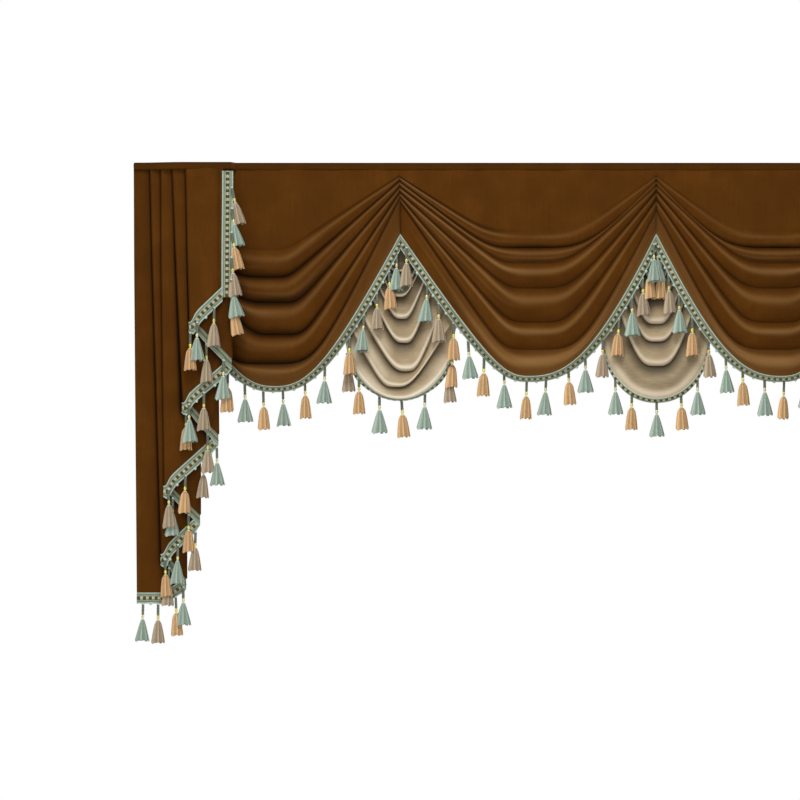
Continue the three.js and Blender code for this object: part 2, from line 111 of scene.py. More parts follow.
def finish(name, **sockets):
    """A material, its node tree and its shader, with what holds all over set on the shader."""
    material = bpy.data.materials.new(name)
    material.use_nodes = True
    shader = material.node_tree.nodes["Principled BSDF"]
    for key, value in sockets.items():
        shader.inputs[key.replace("_", " ")].default_value = value
    return material, material.node_tree, shader


def noise(tree, scale, detail=2.0, stretch=(1, 1, 1)):
    """An even noise, finer for a larger scale, and drawn out along an axis by a small stretch."""
    place = add(tree, "ShaderNodeTexCoord").outputs["Object"]
    drawn = add(tree, "ShaderNodeMapping", {"Vector": place, "Scale": stretch})
    sockets = {"Vector": drawn, "Scale": scale, "Detail": detail}
    return add(tree, "ShaderNodeTexNoise", sockets).outputs["Fac"]


def sum_of(tree, *terms):
    """The sum of sockets, each with its weight."""
    total = 0.0
    for socket, weight in terms:
        sockets = {0: socket, 1: weight, 2: total}
        total = add(tree, "ShaderNodeMath", sockets, operation="MULTIPLY_ADD").outputs[0]
    return total


def ramp(tree, share, *stops):
    """A colour for a share, from stops that are each a place and a colour."""
    made = add(tree, "ShaderNodeValToRGB", {"Fac": share})
    elements = made.color_ramp.elements
    while len(elements) < len(stops):
        elements.new(0.5)
    for element, (place, colour) in zip(elements, stops):
        element.position = place
        element.color = colour
    return made.outputs["Color"]


def blended(tree, share, first, second, how="MIX"):
    """Two colours blended by a share."""
    sockets = {0: share, 6: first, 7: second}
    return add(tree, "ShaderNodeMix", sockets, data_type="RGBA", blend_type=how).outputs[2]


def painted(tree, name):
    """A value that the piece carries on its points."""
    return add(tree, "ShaderNodeAttribute", attribute_name=name).outputs["Fac"]


def roughened(tree, shader, height, strength, distance):
    """A fine relief on the shader's surface."""
    sockets = {"Strength": strength, "Distance": distance, "Height": height}
    bump = add(tree, "ShaderNodeBump", sockets)
    tree.links.new(bump.outputs["Normal"], shader.inputs["Normal"])


def brown_velvet():
    """Cut pile: soft patches where the nap lies over, streaks down it, painted shade in hollows and painted
    highlights on ridges.
    """
    material, tree, shader = finish(
        "brown_velvet",
        Roughness=0.9,
        Specular_IOR_Level=0.06,
        Sheen_Weight=0.2,
        Sheen_Roughness=0.4,
        Sheen_Tint=dye(220, 128, 36),
    )
    patches = noise(tree, 16, 3)
    streaks = noise(tree, 260, 2, (1, 1, 0.06))
    pile = noise(tree, 1100, 1)
    nap = sum_of(tree, (patches, 0.5), (streaks, 0.18), (pile, 0.32))
    lying = ramp(tree, nap, (0.3, dye(74, 41, 6)), (0.52, dye(84, 48, 9)), (0.74, dye(98, 59, 15)))
    # Painted shade in the creases and painted highlights on the ridges, from values that the piece carries.
    hollow_shaded = blended(tree, painted(tree, "hollow"), lying, dye(12, 5, 0))
    ridge_highlighted = blended(tree, painted(tree, "ridge"), hollow_shaded, dye(152, 114, 68))
    tree.links.new(ridge_highlighted, shader.inputs["Base Color"])
    roughened(tree, shader, sum_of(tree, (pile, 0.7), (streaks, 0.5)), 0.35, 0.0008)
    return material


def fastened(made, nodes=()):
    """A finished piece hangs from the heading's body and stands for nodes."""
    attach(made, "root")
    if nodes:
        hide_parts(*nodes)
    return made


def piece(name, parts, material, nodes=()):
    """One object from its parts, fastened in place."""
    mesh = bpy.data.meshes.new(name)
    starts = np.cumsum([0] + [len(part.points) for part in parts])
    faces = [[start + i for i in face] for part, start in zip(parts, starts) for face in part.faces]
    mesh.from_pydata(np.concatenate([part.points for part in parts]) * MM, [], faces)
    for key in sorted({key for part in parts for key in part.values}):
        values = [part.values.get(key, np.zeros(len(part.points))) for part in parts]
        layer = mesh.attributes.new(key, "FLOAT", "POINT")
        layer.data.foreach_set("value", np.concatenate(values).astype(np.float32))
    mesh.shade_smooth()
    mesh.set_sharp_from_angle(angle=SHARP_FROM)
    mesh.materials.append(material)
    made = bpy.data.objects.new(name, mesh)
    bpy.context.scene.collection.objects.link(made)
    return fastened(made, nodes)


def band_ring(depth, inset):
    """The band's section as y and z, from its top over the front and the bottom to its back."""
    front, back = BAND_EDGE + inset - depth, -inset - BAND_EDGE
    top, bottom = -inset - BAND_EDGE, BAND_EDGE + inset - BAND_HEIGHT
    ring = []
    for y, z, start in [(front, top, 90), (front, bottom, 180), (back, bottom, 270), (back, top, 0)]:
        turn = BAND_ARC + math.radians(start)
        ring.append(np.stack([y + BAND_EDGE * np.cos(turn), z + BAND_EDGE * np.sin(turn)], 1))
    puffed = front - BAND_EDGE - BAND_PUFF * np.sin(math.pi * BAND_PUFF_SHARES)
    ring.insert(1, np.stack([puffed, lerp(top, bottom, BAND_PUFF_SHARES)], 1))
    return np.concatenate(ring)


def band_part():
    """The band lofted along its length, rounded at both ends, with its front a little uneven."""
    ends = HALF_LENGTH - BAND_EDGE * (1 - np.cos(BAND_ARC))
    steps = TAIL_BAND_FROM + BAND_STEP * np.linspace(-1, 1, BAND_STEP_STATIONS)
    along = np.arange(-HALF_LENGTH + BAND_STATION, HALF_LENGTH, BAND_STATION)
    along = np.unique(np.concatenate([along, ends, -ends, steps, -steps]))
    rings = []
    for x in along:
        near = max(BAND_EDGE - (HALF_LENGTH - abs(x)), 0)
        inset = BAND_EDGE - math.sqrt(BAND_EDGE**2 - near**2)
        forward = smooth(abs(x), TAIL_BAND_FROM - BAND_STEP, TAIL_BAND_FROM + BAND_STEP)
        uneven = sum(wave.height * math.sin(x / wave.length + wave.start) for wave in BAND_RIPPLES)
        thinner = smooth(abs(x), PLEATS_FULL_TO, HALF_LENGTH - PLEATS_END_SHORT)
        filled = lerp(TAIL_BAND_DEPTH, PLEATS_END_DEPTH, thinner)
        ring = band_ring(lerp(BAND_DEPTH, filled, forward) + uneven, inset)
        rings.append(np.column_stack([np.full(len(ring), x), ring]))
    points = np.array(rings)
    index = np.arange(points.shape[0] * points.shape[1]).reshape(points.shape[:2])
    after = np.roll(index, -1, axis=1)
    sides = np.stack([index[:-1], after[:-1], after[1:], index[1:]], -1).reshape(-1, 4)
    faces = sides.tolist() + [index[0, ::-1].tolist(), index[-1].tolist()]
    # Painted shade, darker towards the band's top edge.
    shade = np.clip(BAND_PAINTED_SHADE + BAND_PAINTED_SHADE_RISE * (points[..., 2] + BAND_PAINTED_SHADE_DROP), *BAND_PAINTED_SHADE_LIMITS)
    return Part(points.reshape(-1, 3), faces, {"hollow": shade.reshape(-1)})


velvet = brown_velvet()
heading = piece("heading_band", [band_part()], velvet, ["heading"])

# Under-swags. A cream cloth hangs behind each opening between the swags, gathered small at its top.
# It is cut on the cross, so it falls in hollow cowls, and its lower edge turns in under its own weight.
# Past the opening its wings go on behind the velvet.
SEAM_X = 256
TOP_DROP = 11.5
UNDER_PLANE = -2
CREAM_THICKNESS = 1.8
MIRROR = np.array([-1, 1, 1])
# How low a cowl's crease hangs in its middle and at its sides, half its width, its lean to one side,
# and how far the cowl below it stands out. The last crease is the hem.
Cowl = namedtuple("Cowl", "centre side half lean depth")
UNEVEN_COWLS = [
    Cowl(104, 54, 44, 0, 0),
    Cowl(196, 124, 50, 0.1, 4),
    Cowl(219, 140, 52, -0.1, 4),
    Cowl(243, 158, 54, 0.15, 4),
    Cowl(268, 176, 57, -0.05, 7),
    Cowl(312, 212, 60, 0.08, 10),
    Cowl(360, 248, 68, 0.14, 11),
    Cowl(417, 292, 86, 0.17, 10),
    Cowl(448, 324, 102, -0.1, 5),
    Cowl(472, 335, 110, 0, 0),
]
EVEN_COWLS = [
    Cowl(104, 54, 44, 0, 0),
    Cowl(196, 124, 50, 0, 4),
    Cowl(232, 150, 53, 0, 5),
    Cowl(272, 180, 57, 0, 7),
    Cowl(322, 214, 62, 0, 8),
    Cowl(357, 238, 70, 0, 9),
    Cowl(406, 268, 84, 0, 3),
    Cowl(472, 335, 110, 0, 0),
]
UNEVEN_BOW = 0.3
EVEN_BOW = 0.5
# Where the painted highlight above the hem starts and ends, how light it is, and the painted shade above
# it.
# Then the painted highlight and the width of the cowls' lips, the painted highlight of their flat sides,
# and how far down the opening is painted dark.
Glow = namedtuple("Glow", "start end light dark lip wide facet inside")
UNEVEN_GLOW = Glow(0.45, 0.9, 0.35, 0, 0.9, 0.07, 0.32, 312)
EVEN_GLOW = Glow(0.93, 1, 0.45, 0.38, 0.55, 0.1, 0, 290)
COWL_ELBOW = 3.5
# The painted shade of the cowls' creases, the painted highlights of their lips and flat sides, and the
# painted shade inside the opening.
COWL_CREASE_DARK = 0.95
COWL_CREASE_WIDTH = 0.36
LIP_AT = 0.86
LIP_CLEARS = 0.7
ABOVE_HEM = (0.2, 0.6)
LEFT_FACET = (0.1, 0.45)
RIGHT_FACET = (0.45, 0.75)
RIGHT_FACET_LIGHT = 0.6
FACET_AT = 0.6
FACET_WIDTH = 0.25
FACET_FADE = 60
INSIDE_DARK = 0.85
INSIDE_FADE = 84
UNDER_TOP_HALF = 60
UNDER_WING = 0.2
UNDER_WING_OUT = 100
UNDER_WING_UP = 150
UNDER_BELLY = 23
UNDER_BELLY_FROM = 334
UNDER_WOBBLE = 0.4
UNDER_COLUMNS = 65
UNDER_TOP_ROWS = 8
FOLD_ROWS = 20
CLOSER_AT_CREASES = 0.6
LONG_WAVE = (0.5, 31, 27)
SHORT_WAVE = (0.35, 13, 19)
WAVE_STARTS = (1.3, 0.4, 2)


def cowl_outline(share):
    """How far a cowl stands out, most at the lip near its foot."""
    rising = np.sin(math.pi / 2 * min(share / LIP_AT, 1))
    return rising * np.cos(math.pi / 2 * max(share - LIP_AT, 0) / (1 - LIP_AT))


def rise(share, bow, elbow):
    """How far a hanging edge has risen on its way from its foot to its end. It is level as far as
    the bow and straight beyond, with a sharper bend between for a larger elbow."""

    def height(along):
        return (along**elbow + bow**elbow) ** (1 / elbow) - bow

    return height(share) / height(1)


def cowl_line(across, lean, bow):
    """How low a cowl hangs across its width: one at its foot, and nought at its ends."""
    away = np.abs(across - lean) / (1 - lean * np.sign(across - lean))
    return 1 - rise(away, bow, COWL_ELBOW)


def fold_shares(last):
    """Shares down a fold, closer together near its creases. Only the last fold has its end."""
    even = np.linspace(0, 1, FOLD_ROWS + 1)
    shares = lerp(even, (1 - np.cos(math.pi * even)) / 2, CLOSER_AT_CREASES)
    return shares if last else shares[:-1]


def hump(value, middle, width):
    """One at the middle, and nearly nought two widths away."""
    return np.exp(-(((value - middle) / width) ** 2))


def wobble(x, z):
    """The slight unevenness of hanging cloth, at most about one millimetre."""
    first, second, third = WAVE_STARTS
    height, width, drop = LONG_WAVE
    long = height * np.sin(x / width + first) * np.sin(z / drop + second)
    height, width, drop = SHORT_WAVE
    return long + height * np.sin(x / width + z / drop + third)


def outward(grid):
    """The side that each point of a cloth faces, on a grid that runs down and across."""
    side = np.cross(np.gradient(grid, axis=0), np.gradient(grid, axis=1))
    return side / np.maximum(np.linalg.norm(side, axis=2, keepdims=True), 1e-9)


def shell(grid, thickness, values):
    """A closed cloth of some thickness on a grid of middle points."""
    half = outward(grid) * np.broadcast_to(thickness, grid.shape[:2])[..., None] / 2
    points = np.concatenate([(grid + half).reshape(-1, 3), (grid - half).reshape(-1, 3)])
    count = grid.shape[0] * grid.shape[1]
    index = np.arange(count).reshape(grid.shape[:2])
    quads = [index[:-1, :-1], index[1:, :-1], index[1:, 1:], index[:-1, 1:]]
    front = np.stack(quads, -1).reshape(-1, 4)
    rim = np.concatenate([index[0, :-1], index[:-1, -1], index[-1, :0:-1], index[:0:-1, 0]])
    after = np.roll(rim, -1)
    edge = np.stack([rim, after, after + count, rim + count], -1)
    faces = np.concatenate([front, front[:, ::-1] + count, edge]).tolist()
    both = {key: np.tile(value.reshape(-1), 2) for key, value in values.items()}
    return Part(points, faces, both)


def mirrored(part):
    """The same part on the other side of the middle."""
    return Part(part.points * MIRROR, [face[::-1] for face in part.faces], part.values)


def moved(part, x):
    """The same part further along the heading."""
    return part._replace(points=part.points + (x, 0, 0))


def cream_cloth():
    """A matt cream cloth with a fine slub across it, with painted shade in its hollows and painted
    highlights along its lips.
    """
    material, tree, shader = finish(
        "cream_cloth",
        Roughness=0.62,
        Specular_IOR_Level=0.25,
        Sheen_Weight=0.2,
        Sheen_Roughness=0.35,
        Sheen_Tint=dye(250, 238, 218),
    )
    clouds = noise(tree, 22, 3)
    slub = noise(tree, 420, 2, (0.12, 1, 1))
    threads = noise(tree, 1500, 1)
    tone = sum_of(tree, (clouds, 0.5), (slub, 0.35), (threads, 0.15))
    dark, plain, pale = dye(146, 126, 94), dye(167, 147, 113), dye(188, 169, 136)
    lying = ramp(tree, tone, (0.3, dark), (0.52, plain), (0.72, pale))
    # Painted shade in the hollows and painted highlights along the lips, from values that the piece
    # carries.
    hollow_shaded = blended(tree, painted(tree, "hollow"), lying, dye(50, 40, 25))
    lip_highlighted = blended(tree, painted(tree, "ridge"), hollow_shaded, dye(236, 221, 198))
    tree.links.new(lip_highlighted, shader.inputs["Base Color"])
    roughened(tree, shader, sum_of(tree, (slub, 0.6), (threads, 0.6)), 0.3, 0.0006)
    return material


def under_grid(cowls, bow, glow):
    """The middle points of an under-swag, the painted shade of its creases and inside its opening, and the
    painted highlights of its lips, flat sides and hem.
    """
    across = np.linspace(-1, 1, UNDER_COLUMNS) * (1 + UNDER_WING)
    angle = np.clip(across, -1, 1) * math.pi / 2
    wing = np.maximum(np.abs(across) - 1, 0)
    round_x, round_z = np.sin(angle), np.cos(angle)
    standing = round_z**2
    wing_x = np.sign(across) * UNDER_WING_OUT * wing
    # How much painted highlight the cowls' flat sides take.
    facet = glow.facet * (smooth(-round_x, *LEFT_FACET) + RIGHT_FACET_LIGHT * smooth(round_x, *RIGHT_FACET))
    lines = [cowl_line(round_x, cowl.lean, bow) for cowl in cowls[:-1]] + [round_z]
    drops = [lerp(cowl.side, cowl.centre, line) - UNDER_WING_UP * wing for cowl, line in zip(cowls, lines)]

    top_x = UNDER_TOP_HALF * np.sin(across / (1 + UNDER_WING) * math.pi / 2)
    first_x = cowls[0].half * round_x + wing_x
    rows, shades, painted_highlights = [], [], []
    for share in np.linspace(0, 1, UNDER_TOP_ROWS, endpoint=False):
        drop = lerp(TOP_DROP, drops[0], share)
        rows.append([lerp(top_x, first_x, share), np.full_like(across, UNDER_PLANE), -drop])
        # The gathered top lies in painted shade.
        shades.append(np.full_like(across, INSIDE_DARK))
        painted_highlights.append(np.zeros_like(across))
    for i, (upper, lower) in enumerate(zip(cowls, cowls[1:])):
        last = i + 2 == len(cowls)
        for share in fold_shares(last):
            x = lerp(upper.half, lower.half, share) * round_x + wing_x
            drop = lerp(drops[i], drops[i + 1], share)
            down = lerp(upper.centre, lower.centre, share)
            belly = UNDER_BELLY * smooth(down, UNDER_BELLY_FROM, cowls[-1].centre)
            out = belly * standing + upper.depth * cowl_outline(share) * round_z
            rows.append([x, UNDER_PLANE - out + UNDER_WOBBLE * wobble(x, drop), -drop])
            # Painted shade inside the opening, in each crease and above the hem, cleared along the lips.
            inside = INSIDE_DARK * (1 - smooth(drop, glow.inside - INSIDE_FADE, glow.inside))
            crease = COWL_CREASE_DARK * hump(share, 0, COWL_CREASE_WIDTH) if upper.depth else 0
            lip = hump(share, LIP_AT, glow.wide) if upper.depth else 0
            near_hem = smooth(share, glow.start, glow.end) if last else 0
            above_hem = glow.dark * smooth(share, *ABOVE_HEM) * (1 - near_hem) if last else 0
            hollow = np.maximum(np.maximum(inside, above_hem), crease * np.sqrt(round_z))
            shades.append(np.clip(hollow - LIP_CLEARS * lip, 0, 1))
            # Painted highlights on the flat sides below the opening, on the lips and above the hem.
            below_inside = smooth(drop, glow.inside, glow.inside + FACET_FADE)
            faced = facet * hump(share, FACET_AT, FACET_WIDTH) * below_inside
            painted_highlights.append(np.maximum(glow.lip * lip * round_z, faced) + glow.light * near_hem)
    grid = np.array(rows).transpose(0, 2, 1)
    return grid, {"hollow": np.array(shades), "ridge": np.array(painted_highlights)}


cream = cream_cloth()
under, under_values = under_grid(UNEVEN_COWLS, UNEVEN_BOW, UNEVEN_GLOW)
even_under, even_values = under_grid(EVEN_COWLS, EVEN_BOW, EVEN_GLOW)
uneven_part = moved(shell(under, CREAM_THICKNESS, under_values), -SEAM_X)
even_part = moved(shell(even_under, CREAM_THICKNESS, even_values), SEAM_X)
cream_swags = {
    "left": piece("cream_swag_left", [uneven_part], cream, ["insert_left"]),
    "right": piece("cream_swag_right", [even_part], cream, ["insert_right"]),
}

# Swags. Three lengths of brown velvet, sewn into the heading, gathered at both ends and let down between.
# Every fold hangs out over the one below it, and all run together into thin lines at the gathers.
# The outer two swags lie pressed flat behind the tails.
SWAG_PLANE = -7
GATHER_GAP = 0.2
SWAG_HALF = SEAM_X - GATHER_GAP
OUTER_WIDTH = 500
OUTER_MIDDLE = -SEAM_X - OUTER_WIDTH / 2
OUTER_HALF = OUTER_WIDTH / 2 - GATHER_GAP
VELVET_THICKNESS = 1.8
# How low a crease hangs in its middle and at its left and right gathers, how broad its bow is to the left
# and to the right, and how far its foot is off the middle. Then what the fold below it is like: how far
# it stands out, where its crest is, the painted shade of the crease and the painted highlight of the ridge
# in the middle, and how strong the crease's painted shade stays at the right gather. The last crease is the
# hem.
Fold = namedtuple("Fold", "centre near far left right lean depth crest dark light clear")
MIDDLE_FOLDS = [
    Fold(137, 28, 26, 0.36, 0.42, 0.02, 7, 0.68, 0, 0.05, 0.25),
    Fold(171, 38, 36, 0.36, 0.5, 0.06, 10, 0.22, 0.75, 0.28, 0.35),
    Fold(202, 49, 46, 0.25, 0.33, 0.04, 13, 0.34, 0.2, 0.34, 0.5),
    Fold(252, 60, 57, 0.22, 0.33, 0.06, 16, 0.34, 0.2, 0.32, 1),
    Fold(320, 70, 73, 0.24, 0.27, 0.09, 14, 0.4, 0.18, 0.32, 1),
    Fold(374, 78, 97, 0.26, 0.42, 0.07, 8, 0.42, 0.2, 0.3, 1),
    Fold(428, 144, 144, 0.26, 0.68, 0, 0, 0.5, 0, 0, 1),
]
LEFT_FOLDS = [
    Fold(174, 26, 26, 0.3, 0.16, -0.07, 15, 0.42, 0.05, 0.12, 0.6),
    Fold(230, 36, 36, 0.35, 0.16, -0.05, 15, 0.36, 0.82, 0.12, 1),
    Fold(281, 48, 48, 0.34, 0.2, -0.01, 17, 0.38, 0.86, 0.14, 1),
    Fold(345, 59, 59, 0.24, 0.24, 0.01, 16, 0.4, 0.84, 0.14, 1),
    Fold(403, 71, 71, 0.3, 0.42, -0.14, 9, 0.42, 0.86, 0.14, 1),
    Fold(448, 146, 146, 0.4, 0.44, 0, 0, 0.5, 0, 0, 1),
]
# How soon the folds run together towards a gather, how sharply their creases bend on the way, and the
# painted highlight of their ridges and of the strip along the hem.
Drape = namedtuple("Drape", "spread elbow rim strip")
CRISP_LEFT = Drape(0.45, 6, 0.42, 0)
SOFT_RIGHT = Drape(1.1, 4, 0.2, 0.2)
CRISP_RIGHT = Drape(0.7, 6, 0.26, 0.12)
SOFT_LEFT = Drape(1.2, 4, 0.2, 0.1)
DRAPE_TURN = 0.3
STRIP_TURN = 0.6
LEVEL_MIDDLE = 0.12
HEM_ELBOW = 2.5
# A width or place as a share of the fold in the middle, its share in the gathers, and its most there.
Line = namedtuple("Line", "open gathered most")
# The painted shade above and below each crease, and the painted highlight on each ridge.
CREASE_ABOVE = Line(0.14, 0.22, 2)
CREASE_BELOW = Line(0.2, 0.24, 2.4)
RIDGE_AT = Line(0.35, 0.34, 3.8)
RIDGE_WIDTH = Line(0.12, 0.14, 1.5)
GATHER_CREST = 0.13
GATHERED_SHARE = 0.18
# Painted shade along both ends of a swag, where it meets its neighbour at the gathers.
SEAM_DARK = 0.7
SEAM_WIDTH = 0.012
# A slight crease: its place down the fold, its slant, its middle and reach across the swag, its strength.
Pull = namedtuple("Pull", "share drift middle reach strength")
LEAST_PULL = Pull(0.4, -0.2, -0.75, 0.2, 0.4)
MOST_PULL = Pull(0.85, 0.2, 0.75, 0.45, 1)
PULLS_IN_FOLD = 3
PULL_SEED = 11
PULL_WIDTH = 0.07
PULL_RIDGE_AT = -1.7 * PULL_WIDTH
PULL_RELIEF = 0.9
# The painted shade in each slight crease and the painted highlight beside it.
PULL_DARK = 0.28
PULL_LIGHT = 0.16
SWAG_BELLY = 20
BELLY_FULLNESS = 8
# Painted highlight along the hem: in the middle of the last fold, and on the strip by the hem.
MIDDLE_HEM_LIGHT = 0.5
LEFT_HEM_LIGHT = 0.05
HEM_LIGHT_AT = 0.5
HEM_LIGHT_WIDTH = 0.17
HEM_LIGHT_REACH = 0.3
STRIP_LIGHT = 0.5
STRIP_EDGE_LIGHT = 1.5
PRESSED_FROM = -560
PRESSED_OVER = 150
PRESSED_SHARE = 0.06
VELVET_WOBBLE = 0.6
SWAG_COLUMNS = 121
FLAT_ROWS = 14


def fold_outline(share, crest):
    """How far a fold stands out on its way from one crease to the next."""
    return np.sin(math.pi * share ** (math.log(0.5) / np.log(crest)))


def drawn(line, span, side):
    """A width or a place in a fold, drawn in on its way to the gathers."""
    return lerp(line.open * span, np.minimum(line.most, line.gathered * span), side)


def painted_fold_light(share, span, side, rim, clear, upper, lower):
    """The painted shade of a fold's two creases and the painted highlight along its ridge.
    In the gathers they are drawn together into thin lines, as clear as the two creases are there."""
    down = share * span
    above = hump(down, 0, drawn(CREASE_ABOVE, span, side))
    dark = lerp(upper.dark, clear[0], side) * above
    if lower.depth:
        below = hump(down, span, drawn(CREASE_BELOW, span, side))
        dark = dark + lerp(lower.dark, clear[1], side) * below
    light = hump(down, drawn(RIDGE_AT, span, side), drawn(RIDGE_WIDTH, span, side))
    return np.clip(dark, 0, 1), lerp(upper.light, rim if lower.depth else 0, side) * light


def fold_pulls(chance):
    """Slight creases in one fold, where the velvet is drawn to one gather more than to the other."""
    rows = chance.uniform(LEAST_PULL, MOST_PULL, (PULLS_IN_FOLD, len(Pull._fields)))
    return [Pull(*row) for row in rows]


def pulled(pulls, share, across):
    """The hollow and the ridge beside it of all the pulls in a fold, for their relief and their painted
    shade and highlight.
    """
    hollow, ridge = np.zeros_like(across), np.zeros_like(across)
    for pull in pulls:
        away = share - pull.share - pull.drift * (across - pull.middle)
        strength = pull.strength * hump(across, pull.middle, pull.reach)
        hollow += strength * hump(away, 0, PULL_WIDTH)
        ridge += strength * hump(away, PULL_RIDGE_AT, PULL_WIDTH)
    return hollow, ridge


def crease_drop(fold, across, left, right):
    """How far down a crease or the hem hangs, from its gather on the left to its gather on the right."""
    near = across < fold.lean
    share = np.abs(across - fold.lean) / (1 - fold.lean * np.sign(across - fold.lean))
    elbow = np.where(near, left.elbow, right.elbow) if fold.depth else HEM_ELBOW
    risen = rise(share, np.where(near, fold.left, fold.right), elbow)
    return lerp(fold.centre, np.where(near, fold.near, fold.far), risen)


def swag_grid(folds, middle, half, press, hem_light, left, right):
    """The middle points of a swag, the painted shade of its creases and the painted highlights of its
    ridges and hem.
    """
    across = np.linspace(-1, 1, SWAG_COLUMNS)
    x = middle + half * across
    drops = [crease_drop(fold, across, left, right) for fold in folds]
    over = smooth(across, -DRAPE_TURN, DRAPE_TURN)
    clear = [lerp(1, fold.clear, over) for fold in folds]
    off_middle = np.hypot(across, LEVEL_MIDDLE) - LEVEL_MIDDLE
    side = (off_middle / off_middle[-1]) ** lerp(left.spread, right.spread, over)
    rim = lerp(left.rim, right.rim, over)
    strip = lerp(left.strip, right.strip, smooth(across, -STRIP_TURN, STRIP_TURN))
    level = hump(across**2, 0, HEM_LIGHT_REACH)
    # Painted shade along both ends of the swag.
    seam = SEAM_DARK * hump(np.abs(across), 1, SEAM_WIDTH)
    chance = np.random.default_rng(PULL_SEED)
    rows, shades, painted_highlights = [], [], []
    for share in np.linspace(0, 1, FLAT_ROWS, endpoint=False):
        drop = lerp(TOP_DROP, drops[0], share)
        rows.append([x, SWAG_PLANE + VELVET_WOBBLE * wobble(x, drop), -drop])
        shades.append(np.zeros_like(across))
        painted_highlights.append(np.zeros_like(across))
    for i, fold in enumerate(folds[:-1]):
        last = i + 2 == len(folds)
        slope = np.gradient((drops[i] + drops[i + 1]) / 2, x)
        span = (drops[i + 1] - drops[i]) / np.hypot(1, slope)
        crest = lerp(fold.crest, GATHER_CREST, side)
        depth = fold.depth * lerp(1, GATHERED_SHARE, side)
        pulls = fold_pulls(chance)
        for share in fold_shares(last):
            drop = lerp(drops[i], drops[i + 1], share)
            hollow, ridge = pulled(pulls, share, across)
            hanging = smooth((i + share) / (len(folds) - 1), 0, 1)
            belly = SWAG_BELLY * hanging * (1 - np.abs(across) ** BELLY_FULLNESS)
            out = belly + depth * fold_outline(share, crest) + PULL_RELIEF * (ridge - hollow)
            rows.append([x, SWAG_PLANE - press(x) * out + VELVET_WOBBLE * wobble(x, drop), -drop])
            # Painted shade in the creases and the pulls, painted highlights on the ridges, and on the last
            # fold along the hem.
            shade, lit = painted_fold_light(share, span, side, rim, clear[i : i + 2], fold, folds[i + 1])
            if last:
                lit = lit + level * hem_light * hump(share, HEM_LIGHT_AT, HEM_LIGHT_WIDTH)
                lit = lit + strip * (STRIP_LIGHT + STRIP_EDGE_LIGHT * share**4)
            shades.append(np.clip(np.maximum(shade, seam) + PULL_DARK * hollow, 0, 1))
            painted_highlights.append(lit + PULL_LIGHT * ridge)
    grid = np.array(rows).transpose(0, 2, 1)
    return grid, {"hollow": np.array(shades), "ridge": np.clip(np.array(painted_highlights), 0, 1)}


def pressed(x):
    """The share of its folds that an outer swag keeps on its way behind the tail."""
    return np.maximum(PRESSED_SHARE, np.clip((x - PRESSED_FROM) / PRESSED_OVER + 1, 0, 1) ** 2)


middle_grid, middle_values = swag_grid(
    MIDDLE_FOLDS, 0, SWAG_HALF, np.ones_like, MIDDLE_HEM_LIGHT, CRISP_LEFT, SOFT_RIGHT
)
left_grid, left_values = swag_grid(
    LEFT_FOLDS, OUTER_MIDDLE, OUTER_HALF, pressed, LEFT_HEM_LIGHT, SOFT_LEFT, CRISP_RIGHT
)
right_grid, right_values = swag_grid(
    MIDDLE_FOLDS, OUTER_MIDDLE, OUTER_HALF, pressed, MIDDLE_HEM_LIGHT, CRISP_LEFT, SOFT_RIGHT
)
middle_part = shell(middle_grid, VELVET_THICKNESS, middle_values)
left_part = shell(left_grid, VELVET_THICKNESS, left_values)
right_part = mirrored(shell(right_grid, VELVET_THICKNESS, right_values))
swags = {
    "middle": piece("velvet_swag_middle", [middle_part], velvet, ["swag_middle"]),
    "left": piece("velvet_swag_left", [left_part], velvet, ["swag_left"]),
    "right": piece("velvet_swag_right", [right_part], velvet, ["swag_right"]),
}

# Tails. A length of brown velvet at each end, cut on a slant and laid in flat pleats to and fro,
# so that its hem falls in a cascade. The pleats are stitched into the heading and open on their way down.
TAIL_PLANE = -9.6
# The x where a pleat turns back, at the heading and at its hem, and how low its hem is there.
Turn = namedtuple("Turn", "top low hem")
TAIL_TURNS = [
    Turn(-788, -781, 860),
    Turn(-680, -681, 830),
    Turn(-755, -731, 772),
    Turn(-652, -653, 702),
    Turn(-733, -725, 636),
    Turn(-620, -616, 542),
    Turn(-710, -687, 470),
    Turn(-596, -589, 391),
    Turn(-683, -673, 310),
    Turn(-608, -608, 250),
]
LEVEL_HEM_TO = -732
TAIL_STAND_OUT = 10
PLEAT_PITCH_TOP = 3.4
PLEAT_PITCH = 6
PLEAT_SWELL = 2
TURN_RADIUS = 2.6
TAIL_EASE_DROP = 235
SWELL_AT_TOP = 0.4
TAIL_WOBBLE = 0.5
TAIL_WOBBLE_DRAWN = 4
TAIL_ROWS = 60
PLEAT_COLUMNS = 9
TURN_COLUMNS = 6
SHOWN_STRIP = (0, 0.06, 0.12, 0.2, 0.32, 0.5, 0.68, 0.8, 0.88, 0.94, 1)
SIDE_HEM = 14
SIDE_HEM_THICKER = 1.6
HOOK = 11
HOOK_REACH = 7
# Painted shade on the tail: on its turns and the backs of its pleats, on the outer pleat towards the top,
# in a line and a broader shade where a pleat lies over the one behind, and in a line beside the braid on
# the front edge. Below the hem of the pleat in front it fades out.
TURN_DARK = 0.28
BACK_PLEAT_DARK = 0.25
OUTER_PLEAT_DARK = 0.14
OUTER_PLEAT_FADES = (120, 460)
PLEAT_LINE = 3
PLEAT_LINE_DARK = 0.75
PLEAT_SHADE = 11
PLEAT_SHADE_DARK = 0.2
EDGE_LINE_IN = 8
EDGE_LINE = 3.5
EDGE_LINE_DARK = 0.35
BRAID_HANGS = 20
SHADE_FADES = 30
# The x of a column at the heading and at its hem, the drop of its hem, its layer from the back, how far it
# swells, the number of its pleat, its painted shade, and the drop at which the painted shade ends.
Column = namedtuple("Column", "top low hem layer swell pleat dark covered")


